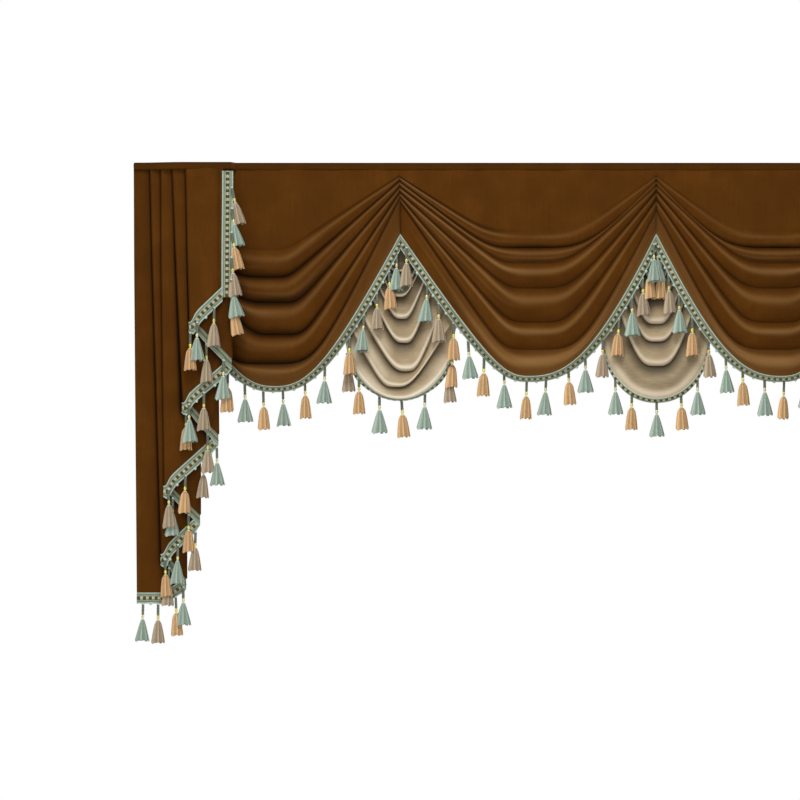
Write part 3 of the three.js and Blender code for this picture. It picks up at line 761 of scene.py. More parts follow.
def pleat_columns(layer):
    """The columns of one pleat of a tail, closer together in a strip that shows beside the next pleat."""
    start, end = TAIL_TURNS[layer : layer + 2]
    front = end.top > start.top
    first, final = layer == 0, layer + 2 == len(TAIL_TURNS)
    cover = TAIL_TURNS[layer + 2] if front and not final else None
    radius = TURN_RADIUS if front else -TURN_RADIUS
    from_top, from_low = (x if first else x + radius for x in (start.top, start.low))
    to_top, to_low = (x if final else x - radius for x in (end.top, end.low))
    edges = [(from_top, from_low), (to_top, to_low)]
    if cover:
        edges.insert(1, (cover.top, cover.low))
    columns = []
    for strip, (one, other) in enumerate(zip(edges, edges[1:])):
        even = np.linspace(0, 1, PLEAT_COLUMNS)[min(strip, 1) :]
        for part in SHOWN_STRIP if front and strip == 0 else even:
            top, low = lerp(one[0], other[0], part), lerp(one[1], other[1], part)
            share = (low - from_low) / (to_low - from_low)
            sloped = max((low - LEVEL_HEM_TO) / (end.low - LEVEL_HEM_TO), 0) if first else share
            swell = math.sin(math.pi * share) if front else 0
            # Painted shade: on the backs of the pleats, in a line beside the braid on the front pleat, and
            # in a line and broader shade where the next pleat lies over this one.
            dark, covered = (0, 0) if front else (BACK_PLEAT_DARK, 2 * start.hem)
            if final:
                dark, covered = EDGE_LINE_DARK * hump(end.low - low, EDGE_LINE_IN, EDGE_LINE), start.hem
            if cover:
                away = 0 if strip else other[0] - top
                dark = PLEAT_LINE_DARK * hump(away, 0, PLEAT_LINE)
                dark += PLEAT_SHADE_DARK * hump(away, 0, PLEAT_SHADE)
                under_cover = max(low - cover.low, 0) / (end.low - cover.low)
                covered = lerp(cover.hem, end.hem, under_cover) + BRAID_HANGS
            hooked = 0 if first else HOOK * hump(low - (from_low if front else to_low), 0, HOOK_REACH)
            hem = lerp(start.hem, end.hem, sloped) + hooked
            columns.append(Column(top, low, hem, layer, swell, layer, dark, covered))
    return columns


def turn_columns(layer):
    """The columns of the round turn from one pleat of a tail to the next."""
    start, end = TAIL_TURNS[layer : layer + 2]
    front = end.top > start.top
    radius = TURN_RADIUS if front else -TURN_RADIUS
    hem = end.hem + (0 if front else HOOK)
    columns = []
    # The turns carry painted shade.
    for turn in np.linspace(0, math.pi, TURN_COLUMNS + 2)[1:-1]:
        aside = radius * (math.sin(turn) - 1)
        deep = layer + (1 - math.cos(turn)) / 2
        columns.append(Column(end.top + aside, end.low + aside, hem, deep, 0, layer + 0.5, TURN_DARK, hem))
    return columns


def tail_columns():
    """All the columns of a tail, from its outer edge to its front edge."""
    columns = pleat_columns(0)
    for layer in range(1, len(TAIL_TURNS) - 1):
        columns += turn_columns(layer - 1) + pleat_columns(layer)
    return Column(*np.array(columns).T)


def tail_point(column, drop):
    """A place in a column of a tail, at a drop that may lie below its hem."""
    opened = smooth(drop, TOP_DROP, TAIL_EASE_DROP)
    pitch = lerp(PLEAT_PITCH_TOP, PLEAT_PITCH, opened)
    swell = PLEAT_SWELL * column.swell * lerp(SWELL_AT_TOP, 1, opened)
    y = TAIL_PLANE - TAIL_STAND_OUT * opened - pitch * column.layer - swell
    return np.stack([lerp(column.top, column.low, drop / column.hem), y, -drop], -1)


tail = tail_columns()
tail_drops = [lerp(TOP_DROP, tail.hem, share) for share in np.linspace(0, 1, TAIL_ROWS)]
tail_grid = np.array([tail_point(tail, drop) for drop in tail_drops])
tail_grid[..., 1] += TAIL_WOBBLE * wobble(tail_grid[..., 0], tail_grid[..., 2] / TAIL_WOBBLE_DRAWN)
from_edge = tail_grid[..., 0] - tail_grid[:, :1, 0]
outer_edge = (tail.layer == 0) & (from_edge < SIDE_HEM)
tail_thickness = np.where(outer_edge, SIDE_HEM_THICKER * VELVET_THICKNESS, VELVET_THICKNESS)
tail_drop = -tail_grid[..., 2]
# Painted shade: darker on the outer pleat towards the top, and along the pleats' lines, turns and backs,
# ending below the pleat in front.
outer_pleat_painted_shade = OUTER_PLEAT_DARK * (tail.layer == 0) * (1 - smooth(tail_drop, *OUTER_PLEAT_FADES))
tail_painted_shade = tail.dark * (1 - smooth(tail_drop - tail.covered, 0, SHADE_FADES))
tail_values = {"hollow": tail_painted_shade + outer_pleat_painted_shade}
tail_part = shell(tail_grid, tail_thickness, tail_values)
tails = {
    "left": piece("velvet_tail_left", [tail_part], velvet, ["tail_left"]),
    "right": piece("velvet_tail_right", [mirrored(tail_part)], velvet, ["tail_right"]),
}

# Braid. A woven tape, pale mint, with a twisted cord along both its edges and a ladder of olive
# and cream stitches down its middle. It is sewn to every hem by its upper edge, and where a hem
# hangs free it tips back under the swag, or curls.
BRAID_WIDTH = 20
BRAID_LAP = 2
BRAID_FORWARD = 1.7
BRAID_THICKNESS = 1.5
BRAID_SHARES = np.linspace(0, 1, 11)
BRAID_STATION = 4
BRAID_MOST_WIDER = 1.78
BRAID_EASE = 2
RIB_PITCH = 1.6
OLIVE_THREAD, CREAM_THREAD, MINT_THREAD = 0, 0.5, 1
EDGING_SHARES = (0.05, 0.95)
EDGING_PITCH = 1.7
EDGING_LIFT = 0.5
EDGING_STITCH = (3.2, 1.7, 2.4)
EDGING_SLANT = 0.6
LADDER_SHARE = 0.5
LADDER_PITCH = 1.95
LADDER_LIFT = 1
LADDER_STITCH = (2.2, 10, 1.8)
LADDER_REPEAT = 3
SWAG_TILT = math.radians(58)
SWAG_WIDENING = 0.52
OUTER_BRAID_FROM = -613
UNDER_ROLL = math.radians(125)
LEAST_ROLL = 0.001
EVEN_UNDER_TILT = math.radians(58)
EVEN_SIDE_SHARE = 0.5
UNDER_BRAID_SHARE = 0.8
UNDER_BRAID_TO = 0.86
INNER_BRAID_SHARE = 0.75
INNER_BRAID_EASE = 3
EDGE_TOP_DROP = 17
EDGE_FOOT_DROP = 270
DOWN = np.array([0.0, 0.0, -1.0])
FRONT = np.array([0.0, -1.0, 0.0])
ALONG = np.array([1.0, 0.0, 0.0])
# The points of a hem, the side it faces and the way its braid hangs from it, how much wider than usual
# the braid is there, and the angles by which it tips back and curls under.
Hem = namedtuple("Hem", "line facing down wider tilt roll")


def lengths(line):
    """The length run along a line up to each of its points."""
    return np.concatenate([[0], np.cumsum(np.linalg.norm(np.diff(line, axis=0), axis=1))])


def at(values, runs, run):
    """Values along a line at other runs of its length."""
    values = np.asarray(values, float)
    if values.ndim == 1:
        return np.interp(run, runs, values)
    return np.stack([np.interp(run, runs, column) for column in values.T], -1)


def unit(vectors):
    """Vectors of the same ways, each one long."""
    return vectors / np.linalg.norm(vectors, axis=-1, keepdims=True)


def eased(values, reach):
    """Values evened out with their neighbours."""
    padded = np.pad(values, reach, mode="edge")
    return np.convolve(padded, np.full(2 * reach + 1, 1 / (2 * reach + 1)), mode="valid")


def hem_of(line, facing, tilt, roll, widening=1.0):
    """A hem at even stations, with how much wider than level its braid hangs where it slants."""
    runs = lengths(line)
    even = np.linspace(0, runs[-1], int(runs[-1] / BRAID_STATION) + 2)
    placed = at(line, runs, even)
    faced = unit(at(np.broadcast_to(facing, line.shape), runs, even))
    along = np.gradient(placed, axis=0)
    slope = np.abs(along[:, 2]) / np.maximum(np.hypot(along[:, 0], along[:, 1]), 1e-6)
    wider = np.minimum(lerp(1, np.hypot(1, slope), widening), BRAID_MOST_WIDER)
    angles = [at(np.broadcast_to(angle, len(line)), runs, even) for angle in (tilt, roll)]
    return Hem(placed, faced, np.broadcast_to(DOWN, placed.shape), eased(wider, BRAID_EASE), *angles)


def braid_place(hem, share):
    """The braid's points and the side they face, at a share from its upper to its free edge."""
    width = (BRAID_WIDTH + BRAID_LAP) * hem.wider
    bend = 2 * np.maximum(hem.roll, LEAST_ROLL)
    turned = hem.tilt + bend * share
    reach = (width * (np.sin(turned) - np.sin(hem.tilt)) / bend)[:, None]
    under = (width * (np.cos(hem.tilt) - np.cos(turned)) / bend)[:, None]
    start = hem.line - hem.down * BRAID_LAP + hem.facing * BRAID_FORWARD
    facing = hem.facing * np.cos(turned)[:, None] + hem.down * np.sin(turned)[:, None]
    return start + hem.down * reach - hem.facing * under, facing


def tape(hem):
    """The woven tape with its run and its share of the width."""
    grid = np.array([braid_place(hem, share)[0] for share in BRAID_SHARES])
    along = unit(np.gradient(hem.line, axis=0))
    run = lengths(hem.line) + ((grid - hem.line) * along).sum(-1)
    across = np.broadcast_to(BRAID_SHARES[:, None], run.shape)
    return shell(grid, BRAID_THICKNESS, {"along": run, "across": across})


def stitch_points(hem, share, pitch, lift):
    """Evenly spaced stitches along the braid: their places, their way along and the side they face."""
    line, facing = braid_place(hem, share)
    line = line + facing * lift
    runs = lengths(line)
    even = np.arange(pitch, runs[-1] - pitch / 2, pitch)
    along = unit(np.gradient(line, axis=0))
    return at(line, runs, even), at(along, runs, even), at(facing, runs, even)


def mirrored_hem(hem):
    """The same hem on the other side of the middle, again from left to right."""
    placed = [values[::-1] * MIRROR for values in hem[:3]]
    return Hem(*placed, *(values[::-1] for values in hem[3:]))


def moved_hem(hem, x):
    """The same hem further along the heading."""
    return hem._replace(line=hem.line + (x, 0, 0))


def woven_tape():
    """A ribbed tape: pale at both edges, greyer between, with fine weft lines across it."""
    material, tree, shader = finish("woven_tape", Roughness=0.75, Specular_IOR_Level=0.2)
    turns = sum_of(tree, (painted(tree, "along"), 2 * math.pi / RIB_PITCH))
    ribs = add(tree, "ShaderNodeMath", {0: turns}, operation="SINE").outputs[0]
    worn = noise(tree, 300, 3)
    pale, grey = dye(180, 195, 176), dye(112, 114, 84)
    upper = [(0.1, pale), (0.2, grey), (0.3, pale), (0.36, grey)]
    lower = [(1 - place, colour) for place, colour in reversed(upper)]
    bands = ramp(tree, painted(tree, "across"), *upper, *lower)
    light = sum_of(tree, (ribs, 0.1), (worn, 0.5))
    shaded = blended(tree, light, blended(tree, 0.35, bands, dye(60, 78, 68)), bands)
    tree.links.new(shaded, shader.inputs["Base Color"])
    roughened(tree, shader, sum_of(tree, (ribs, 0.5), (worn, 0.5)), 0.4, 0.0006)
    return material


def stitch_thread():
    """Embroidery thread in the colour that each stitch carries: olive, cream or mint."""
    material, tree, shader = finish("stitch_thread", Roughness=0.6, Specular_IOR_Level=0.3)
    strands = noise(tree, 1800, 2)
    olive, pale, mint = dye(92, 84, 34), dye(222, 218, 184), dye(204, 228, 214)
    tones = [(OLIVE_THREAD, olive), (CREAM_THREAD, pale), (MINT_THREAD, mint)]
    colour = ramp(tree, painted(tree, "tone"), *tones)
    shaded = blended(tree, strands, blended(tree, 0.45, colour, dye(40, 40, 26)), colour)
    tree.links.new(shaded, shader.inputs["Base Color"])
    roughened(tree, shader, strands, 0.35, 0.0004)
    return material


def named(tree, name, kind="FLOAT"):
    """A named value of the points, in a geometry tree."""
    made = add(tree, "GeometryNodeInputNamedAttribute", {"Name": name}, data_type=kind)
    return made.outputs["Attribute"]


def geometry_tree(name, inputs):
    """An empty geometry tree with its named inputs, and its way in and way out."""
    tree = bpy.data.node_groups.new(name, "GeometryNodeTree")
    tree.interface.new_socket("Geometry", in_out="OUTPUT", socket_type="NodeSocketGeometry")
    tree.interface.new_socket("Geometry", in_out="INPUT", socket_type="NodeSocketGeometry")
    for key, kind in inputs.items():
        tree.interface.new_socket(key, in_out="INPUT", socket_type=kind)
    return tree, tree.nodes.new("NodeGroupInput").outputs, tree.nodes.new("NodeGroupOutput").inputs


def stitch_tree(material):
    """A stitch laid on every point, along its row and flat on the tape."""
    inputs = {"Size": "NodeSocketVector", "Slant": "NodeSocketFloat"}
    tree, given, result = geometry_tree("stitches", inputs)
    stitch = add(tree, "GeometryNodeMeshUVSphere", {"Segments": 5, "Rings": 3, "Radius": 0.5})
    soft = add(tree, "GeometryNodeSetShadeSmooth", {"Geometry": stitch.outputs["Mesh"]})
    facing, way = (named(tree, key, "FLOAT_VECTOR") for key in ("facing", "way"))
    lying = add(tree, "FunctionNodeAlignRotationToVector", {"Vector": facing}, axis="Z")
    sockets = {"Rotation": lying, "Vector": way}
    along = add(tree, "FunctionNodeAlignRotationToVector", sockets, axis="X", pivot_axis="Z")
    slant = add(tree, "FunctionNodeAxisAngleToRotation", {"Axis": (0, 0, 1), "Angle": given["Slant"]})
    sockets = {"Rotation": along, "Rotate By": slant}
    turned = add(tree, "FunctionNodeRotateRotation", sockets, rotation_space="LOCAL")
    sockets = {"Points": given["Geometry"], "Instance": soft, "Rotation": turned, "Scale": given["Size"]}
    laid = add(tree, "GeometryNodeInstanceOnPoints", sockets)
    whole = add(tree, "GeometryNodeRealizeInstances", {"Geometry": laid})
    dressed = add(tree, "GeometryNodeSetMaterial", {"Geometry": whole, "Material": material})
    tree.links.new(dressed.outputs["Geometry"], result["Geometry"])
    return tree


def spread(name, points, values, tree, settings):
    """A plain mesh of what a geometry tree makes of points that carry values."""
    mesh = bpy.data.meshes.new(name)
    mesh.from_pydata(points * MM, [], [])
    for key, value in values.items():
        value = np.asarray(value, np.float32)
        vector = value.ndim == 2
        layer = mesh.attributes.new(key, "FLOAT_VECTOR" if vector else "FLOAT", "POINT")
        layer.data.foreach_set("vector" if vector else "value", value.reshape(-1))
    made = bpy.data.objects.new(name, mesh)
    bpy.context.scene.collection.objects.link(made)
    modifier = made.modifiers.new(tree.name, "NODES")
    modifier.node_group = tree
    for socket in tree.interface.items_tree:
        if socket.in_out == "INPUT" and socket.name in settings:
            modifier[socket.identifier] = settings[socket.name]
    ready = bpy.context.evaluated_depsgraph_get()
    shown = made.evaluated_get(ready)
    plain = bpy.data.meshes.new_from_object(shown, preserve_all_data_layers=True, depsgraph=ready)
    made.modifiers.remove(modifier)
    made.data = plain
    plain.name = name
    return made


def stitched(name, row, tone, size, slant):
    """One piece of stitches, from their places, their way along, the side they face and their tone."""
    points, way, facing = row
    values = {"way": way, "facing": facing, "tone": tone}
    settings = {"Size": [side * MM for side in size], "Slant": slant}
    return fastened(spread(name, points, values, stitches, settings))


def braided(label, hem, node):
    """The braid along a hem: its tape, its ladder, and the cords along both its edges."""
    strip = piece("braid_" + label, [tape(hem)], tape_material, [node])
    rungs = stitch_points(hem, LADDER_SHARE, LADDER_PITCH, LADDER_LIFT)
    pale = np.arange(len(rungs[0])) // LADDER_REPEAT % 2
    ladder = stitched("ladder_" + label, rungs, lerp(OLIVE_THREAD, CREAM_THREAD, pale), LADDER_STITCH, 0)
    cords = [stitch_points(hem, share, EDGING_PITCH, EDGING_LIFT) for share in EDGING_SHARES]
    cords = [np.concatenate(both) for both in zip(*cords)]
    mint = np.full(len(cords[0]), MINT_THREAD)
    edging = stitched("edging_" + label, cords, mint, EDGING_STITCH, EDGING_SLANT)
    return [strip, ladder, edging]


def swag_hem(grid, press, start):
    """A swag's hem from where its braid starts. The braid tips back most at the foot."""
    shown = grid[-1, :, 0] >= start
    line = grid[-1, shown]
    across = np.linspace(-1, 1, SWAG_COLUMNS)[shown]
    return hem_of(line, FRONT, SWAG_TILT * (1 - across**2) ** 2 * press(line[:, 0]), 0, SWAG_WIDENING)


def under_hem(tilt, roll, side_share):
    """The hem of an under-swag, one line for both, as far as it shows. Its braid tips back or curls under
    at the foot."""
    across = np.linspace(-1, 1, UNDER_COLUMNS) * (1 + UNDER_WING)
    shown = np.abs(across) < UNDER_BRAID_TO
    line = under[-1, shown]
    foot = np.cos(across[shown] * math.pi / 2) ** 3
    hem = hem_of(line, FRONT, tilt * foot, roll * foot)
    shares = at(lerp(side_share, 1, foot), lengths(line), lengths(hem.line))
    return hem._replace(wider=UNDER_BRAID_SHARE * shares)


tape_material = woven_tape()
thread = stitch_thread()
stitches = stitch_tree(thread)

middle_hem = swag_hem(middle_grid, np.ones_like, -SEAM_X)
left_hem = swag_hem(left_grid, pressed, OUTER_BRAID_FROM)
right_hem = swag_hem(right_grid, pressed, OUTER_BRAID_FROM)
left_under_hem = under_hem(0, UNDER_ROLL, 1)
right_under_hem = under_hem(EVEN_UNDER_TILT, 0, EVEN_SIDE_SHARE)

tail_line = tail_grid[-1]
cascade_hem = hem_of(tail_line, outward(tail_grid)[-1] * (1, 1, 0), 0, 0)
inner_pleat = at(tail.pleat % 2, lengths(tail_line), lengths(cascade_hem.line))
inner_pleat = np.where(inner_pleat > 0.9, 1.0, 0.0)
narrower = lerp(1, INNER_BRAID_SHARE, eased(inner_pleat, INNER_BRAID_EASE))
cascade_hem = cascade_hem._replace(wider=cascade_hem.wider * narrower)

edge_drops = np.arange(EDGE_FOOT_DROP, EDGE_TOP_DROP, -BRAID_STATION)
front_edge = Column(*(values[-1] for values in tail))._replace(swell=0)
edge_line = tail_point(front_edge, edge_drops)
edge_facing, edge_down = (np.broadcast_to(way, edge_line.shape) for way in (FRONT, ALONG))
edge_wider, edge_angle = np.ones(len(edge_line)), np.zeros(len(edge_line))
edge_hem = Hem(edge_line, edge_facing, edge_down, edge_wider, edge_angle, edge_angle)

hems = {
    "swag_middle": (middle_hem, "fringe_swag_middle"),
    "swag_left": (left_hem, "fringe_swag_left"),
    "swag_right": (mirrored_hem(right_hem), "fringe_swag_right"),
    "cream_left": (moved_hem(left_under_hem, -SEAM_X), "fringe_insert_left"),
    "cream_right": (moved_hem(right_under_hem, SEAM_X), "fringe_insert_right"),
    "tail_left": (cascade_hem, "fringe_tail_left"),
    "tail_right": (mirrored_hem(cascade_hem), "fringe_tail_right"),
    "edge_left": (edge_hem, "fringe_edge_left"),
    "edge_right": (mirrored_hem(edge_hem), "fringe_edge_right"),
}
braids = {label: braided(label, hem, node) for label, (hem, node) in hems.items()}

# Tassels. Each hangs from the braid's free edge by a twisted cord out of a small knot, with a gilt bead
# above its skirt of yarn. Mint skirts flare like cones, tan ones are round like bells, and taupe ones
# hang loose. Small tufts of thread are sewn between the tassels.
CORD_LENGTH = 21
CORD_PLY = 1.6
CORD_TURNS = 4
CORD_SIDES = 5
CORD_TURN_POINTS = 6
KNOT_RADIUS = 2.8
BEAD_RADIUS = 3
BEAD_HALF_HEIGHT = 4.4
SKIRT_TOP = 31
SKIRT_LENGTH = 44.5
NECK_RADIUS = 3
COLLAR_OVER = 0.9
COLLAR_DROP = 0.6
COLLAR_FLAT = 0.5
YARNS = 32
YARN_SIDES = 4
YARN_POINTS = 7
YARN_FULLNESS = 1.25
YARN_LENGTHS = (0.92, 1.04)
YARN_TONES = (0, 1)
YARN_SEED = 4
LOCK_YARNS = 2.2
LOCK_TONE_SHARE = 0.7
STRAND_TONE_SHARE = 0.6
YARN_DARK = 0.36
FILLING_SIDES = 14
FILLING_FROM = 0.06
FILLING_TO = 0.96
FILLING_TOP_WITHIN = 0.9
FILLING_FOOT_WITHIN = 0.93
TASSEL_NOD = 0.015
TASSEL_SWAY = 0.028
TASSEL_TWIST = 0.2
TASSEL_WIDTHS = (0.94, 1.04)
TASSEL_LENGTHS = (0.97, 1.02)
MOST_PUSHED = 0.5
TUFT_SIZE = 8
TAUPE, TAN, MINT = range(3)
DYES = {"taupe": TAUPE, "tan": TAN, "mint": MINT}
YARN, CORD, BEAD, KNOT, FILLER = range(5)
# The radius of a skirt at its foot, and how round its shoulders are: rounder for a smaller value.
Skirt = namedtuple("Skirt", "flare shoulder")
CONE = Skirt(14.4, 0.85)
BELL = Skirt(11.6, 0.4)
LOOSE = Skirt(12.4, 0.6)
# How deep a tassel is from front to back, as a share of its width, and the angle by which the tassels of
# the edges lean towards the middle.
SWAG_DEEP = 0.6
UNDER_DEEP = 0.7
TAIL_DEEP = 0.55
EDGE_LEAN = 0.16
# Where the tassels' roots lie, before and behind the braid's free edge.
STEEP_FROM = 1.1
LEVEL_ROOT_BACK = -2
STEEP_ROOT_BACK = 2.5
ROOT_MARGIN = 1
TOP_ROOTS_FORWARD = 13
UNDER_ROOT_SHIFT = (0, 7, -1)
UNDER_ROOT_FRONT = -11
TAIL_ROOT_SHIFT = (0, -4, 0)
EDGE_ROOT_SHIFT = (-2, -7, 0)
# The dye of each tassel along a hem, and its root as x and drop. The right swag is made on the left and
# mirrored. Its tassels are those of the middle swag, without the first ones, which the tail would hide.
MIDDLE_DYES = "taupe mint taupe tan mint tan mint tan mint tan mint taupe tan mint taupe tan mint"
MIDDLE_ROOTS = [
    (-243, 171), (-201, 243), (-179, 286), (-149, 324), (-120, 365), (-88, 390), (-48, 413), (-3, 436),
    (36, 428), (80, 408), (114, 384), (149, 352), (181, 317), (207, 277), (228, 236), (242, 198),
    (250, 164),
]
RIGHT_HIDDEN = 5
RIGHT_ALONG = -508
RIGHT_DYES = " ".join(MIDDLE_DYES.split()[RIGHT_HIDDEN:])
RIGHT_ROOTS = [(x + RIGHT_ALONG, drop) for x, drop in MIDDLE_ROOTS[RIGHT_HIDDEN:]]
LEFT_DYES = "tan mint tan mint tan mint tan mint taupe tan mint"
LEFT_ROOTS = [
    (-600, 436), (-566, 442), (-529, 458), (-490, 452), (-446, 434), (-406, 406), (-357, 353), (-328, 310),
    (-302, 264), (-278, 223), (-262, 181),
]
CREAM_LEFT_DYES = "taupe tan mint tan mint taupe tan"
CREAM_LEFT_ROOTS_X = (-104, -82, -41, 3, 50, 96, 108)
CREAM_RIGHT_DYES = "mint tan mint tan mint"
CREAM_RIGHT_ROOTS_X = (-82, -49, 0, 49, 82)
EDGE_DYES = "taupe mint tan taupe mint tan"
EDGE_ROOT_DROPS = (52, 94, 142, 192, 236, 272)
TAIL_PLEATS = [
    ("mint taupe tan", [(-768, 882), (-738, 884), (-703, 876)]),
    ("mint taupe", [(-684, 848), (-716, 811)]),
    ("tan mint taupe", [(-730, 792), (-698, 763), (-663, 737)]),
    ("tan mint", [(-677, 705), (-708, 682)]),
    ("taupe tan taupe mint", [(-716, 652), (-682, 625), (-645, 593), (-620, 570)]),
    ("taupe tan", [(-638, 543), (-681, 512)]),
    ("mint taupe tan", [(-675, 483), (-645, 460), (-602, 424)]),
    ("mint taupe tan", [(-606, 396), (-640, 373), (-673, 343)]),
    ("mint taupe", [(-658, 321), (-624, 292)]),
]
TAIL_DYES = " ".join(dyes for dyes, roots in TAIL_PLEATS)


def yarn_material():
    """Twisted viscose yarn in the tassel's dye, each strand a little lighter or darker."""
    material, tree, shader = finish(
        "tassel_yarn", Roughness=0.55, Specular_IOR_Level=0.3, Sheen_Weight=0.25, Sheen_Roughness=0.4
    )
    twist = noise(tree, 700, 2, (1, 1, 0.5))
    share = sum_of(tree, (painted(tree, "dye"), 0.5))
    colour = ramp(tree, share, (0, dye(204, 183, 152)), (0.5, dye(240, 196, 140)), (1, dye(186, 206, 188)))
    dark = ramp(tree, share, (0, dye(70, 54, 38)), (0.5, dye(104, 70, 36)), (1, dye(58, 76, 66)))
    # A filling carries no shade value, so it takes the dark of its dye: painted shade between the yarns.
    light = sum_of(tree, (painted(tree, "shade"), 1.3), (twist, 0.5))
    light = add(tree, "ShaderNodeMath", {0: light, 1: YARN_DARK}, operation="SUBTRACT").outputs[0]
    tree.links.new(blended(tree, light, dark, colour), shader.inputs["Base Color"])
    roughened(tree, shader, twist, 0.4, 0.0005)
    return material


def cord_material():
    """A dark green twisted cord with paler strands."""
    material, tree, shader = finish("tassel_cord", Roughness=0.6, Specular_IOR_Level=0.25)
    strands = noise(tree, 900, 2)
    colour = ramp(tree, strands, (0.35, dye(70, 78, 64)), (0.65, dye(134, 138, 118)))
    tree.links.new(colour, shader.inputs["Base Color"])
    return material


def bead_material():
    """A gilt bead, a little worn."""
    material, tree, shader = finish("gilt_bead", Metallic=0.35, Specular_IOR_Level=0.6)
    worn = noise(tree, 500, 3)
    share = sum_of(tree, (painted(tree, "dye"), 0.5))
    gilt = ramp(tree, share, (0, dye(236, 218, 116)), (0.5, dye(246, 230, 96)), (1, dye(234, 224, 160)))
    colour = blended(tree, worn, blended(tree, 0.3, gilt, dye(150, 118, 40)), gilt)
    tree.links.new(colour, shader.inputs["Base Color"])
    rough = sum_of(tree, (worn, 0.4))
    tree.links.new(rough, shader.inputs["Roughness"])
    return material


def marked(tree, geometry, name, value, domain="POINT"):
    """Geometry that carries a named value."""
    sockets = {"Geometry": geometry, "Name": name, "Value": value}
    return add(tree, "GeometryNodeStoreNamedAttribute", sockets, data_type="FLOAT", domain=domain)


def shifted(tree, geometry, drop, turn=0.0, scale=(1, 1, 1)):
    """Geometry let down by a drop in millimetres, turned about its own upright line."""
    sockets = {
        "Geometry": geometry,
        "Translation": (0, 0, -drop * MM),
        "Rotation": (0, 0, turn),
        "Scale": scale,
    }
    return add(tree, "GeometryNodeTransform", sockets)


def joined(tree, parts):
    """One geometry of several."""
    whole = add(tree, "GeometryNodeJoinGeometry")
    for part in reversed(parts):
        tree.links.new(part.outputs[0], whole.inputs[0])
    return whole


def calculated(tree, how, *values):
    """What a sum or product or the like of values and sockets comes to."""
    return add(tree, "ShaderNodeMath", dict(enumerate(values)), operation=how).outputs[0]


def by_chance(tree, limits, number, seed):
    """A random value between limits for each number."""
    least, most = limits
    sockets = {2: least, 3: most, "ID": number, "Seed": seed}
    return add(tree, "FunctionNodeRandomValue", sockets, data_type="FLOAT").outputs[1]


def where_equal(tree, name, value):
    """Where the points carry this value by this name."""
    sockets = {0: named(tree, name), 1: float(value), "Epsilon": 0.1}
    return add(tree, "FunctionNodeCompare", sockets, data_type="FLOAT", operation="EQUAL")


def ball(tree, radius, drop, kind, sides, rings, scale=(1, 1, 1)):
    """A round knot or bead at a drop below the braid."""
    sockets = {"Segments": sides, "Rings": rings, "Radius": radius * MM}
    made = add(tree, "GeometryNodeMeshUVSphere", sockets).outputs["Mesh"]
    return marked(tree, shifted(tree, made, drop, 0, scale), "kind", kind)


def twisted_cord(tree):
    """Two plies that wind round each other down to the bead."""
    sockets = {
        "Resolution": CORD_TURN_POINTS,
        "Rotations": CORD_TURNS,
        "Start Radius": CORD_PLY * MM,
        "End Radius": CORD_PLY * MM,
        "Height": CORD_LENGTH * MM,
    }
    wound = add(tree, "GeometryNodeCurveSpiral", sockets)
    sockets = {"Resolution": CORD_SIDES, "Radius": CORD_PLY * MM}
    section = add(tree, "GeometryNodeCurvePrimitiveCircle", sockets, mode="RADIUS").outputs["Curve"]
    ply = add(tree, "GeometryNodeCurveToMesh", {"Curve": wound, "Profile Curve": section})
    plies = [shifted(tree, ply, CORD_LENGTH, turn) for turn in (0, math.pi)]
    return marked(tree, joined(tree, plies), "kind", CORD)


def yarn(tree, skirt):
    """One yarn from the neck down, bent out as the skirt spreads, and thicker with it."""
    sockets = {"Start": (0, 0, 0), "End": (0, 0, -SKIRT_LENGTH * MM)}
    line = add(tree, "GeometryNodeCurvePrimitiveLine", sockets)
    parted = add(tree, "GeometryNodeResampleCurve", {"Curve": line, "Count": YARN_POINTS})
    down = add(tree, "GeometryNodeSplineParameter").outputs["Factor"]
    wide = calculated(tree, "POWER", down, skirt.shoulder)
    out = calculated(tree, "MULTIPLY_ADD", wide, (skirt.flare - NECK_RADIUS) * MM, NECK_RADIUS * MM)
    offset = add(tree, "ShaderNodeCombineXYZ", {"X": out})
    bent = add(tree, "GeometryNodeSetPosition", {"Geometry": parted, "Offset": offset})
    sockets = {"Resolution": YARN_SIDES, "Radius": 1.0}
    section = add(tree, "GeometryNodeCurvePrimitiveCircle", sockets, mode="RADIUS").outputs["Curve"]
    place = add(tree, "GeometryNodeInputPosition")
    x = add(tree, "ShaderNodeSeparateXYZ", {"Vector": place}).outputs["X"]
    thick = calculated(tree, "MULTIPLY", x, YARN_FULLNESS * math.pi / YARNS)
    sockets = {"Curve": bent, "Profile Curve": section, "Scale": thick, "Fill Caps": True}
    return marked(tree, add(tree, "GeometryNodeCurveToMesh", sockets), "kind", YARN)


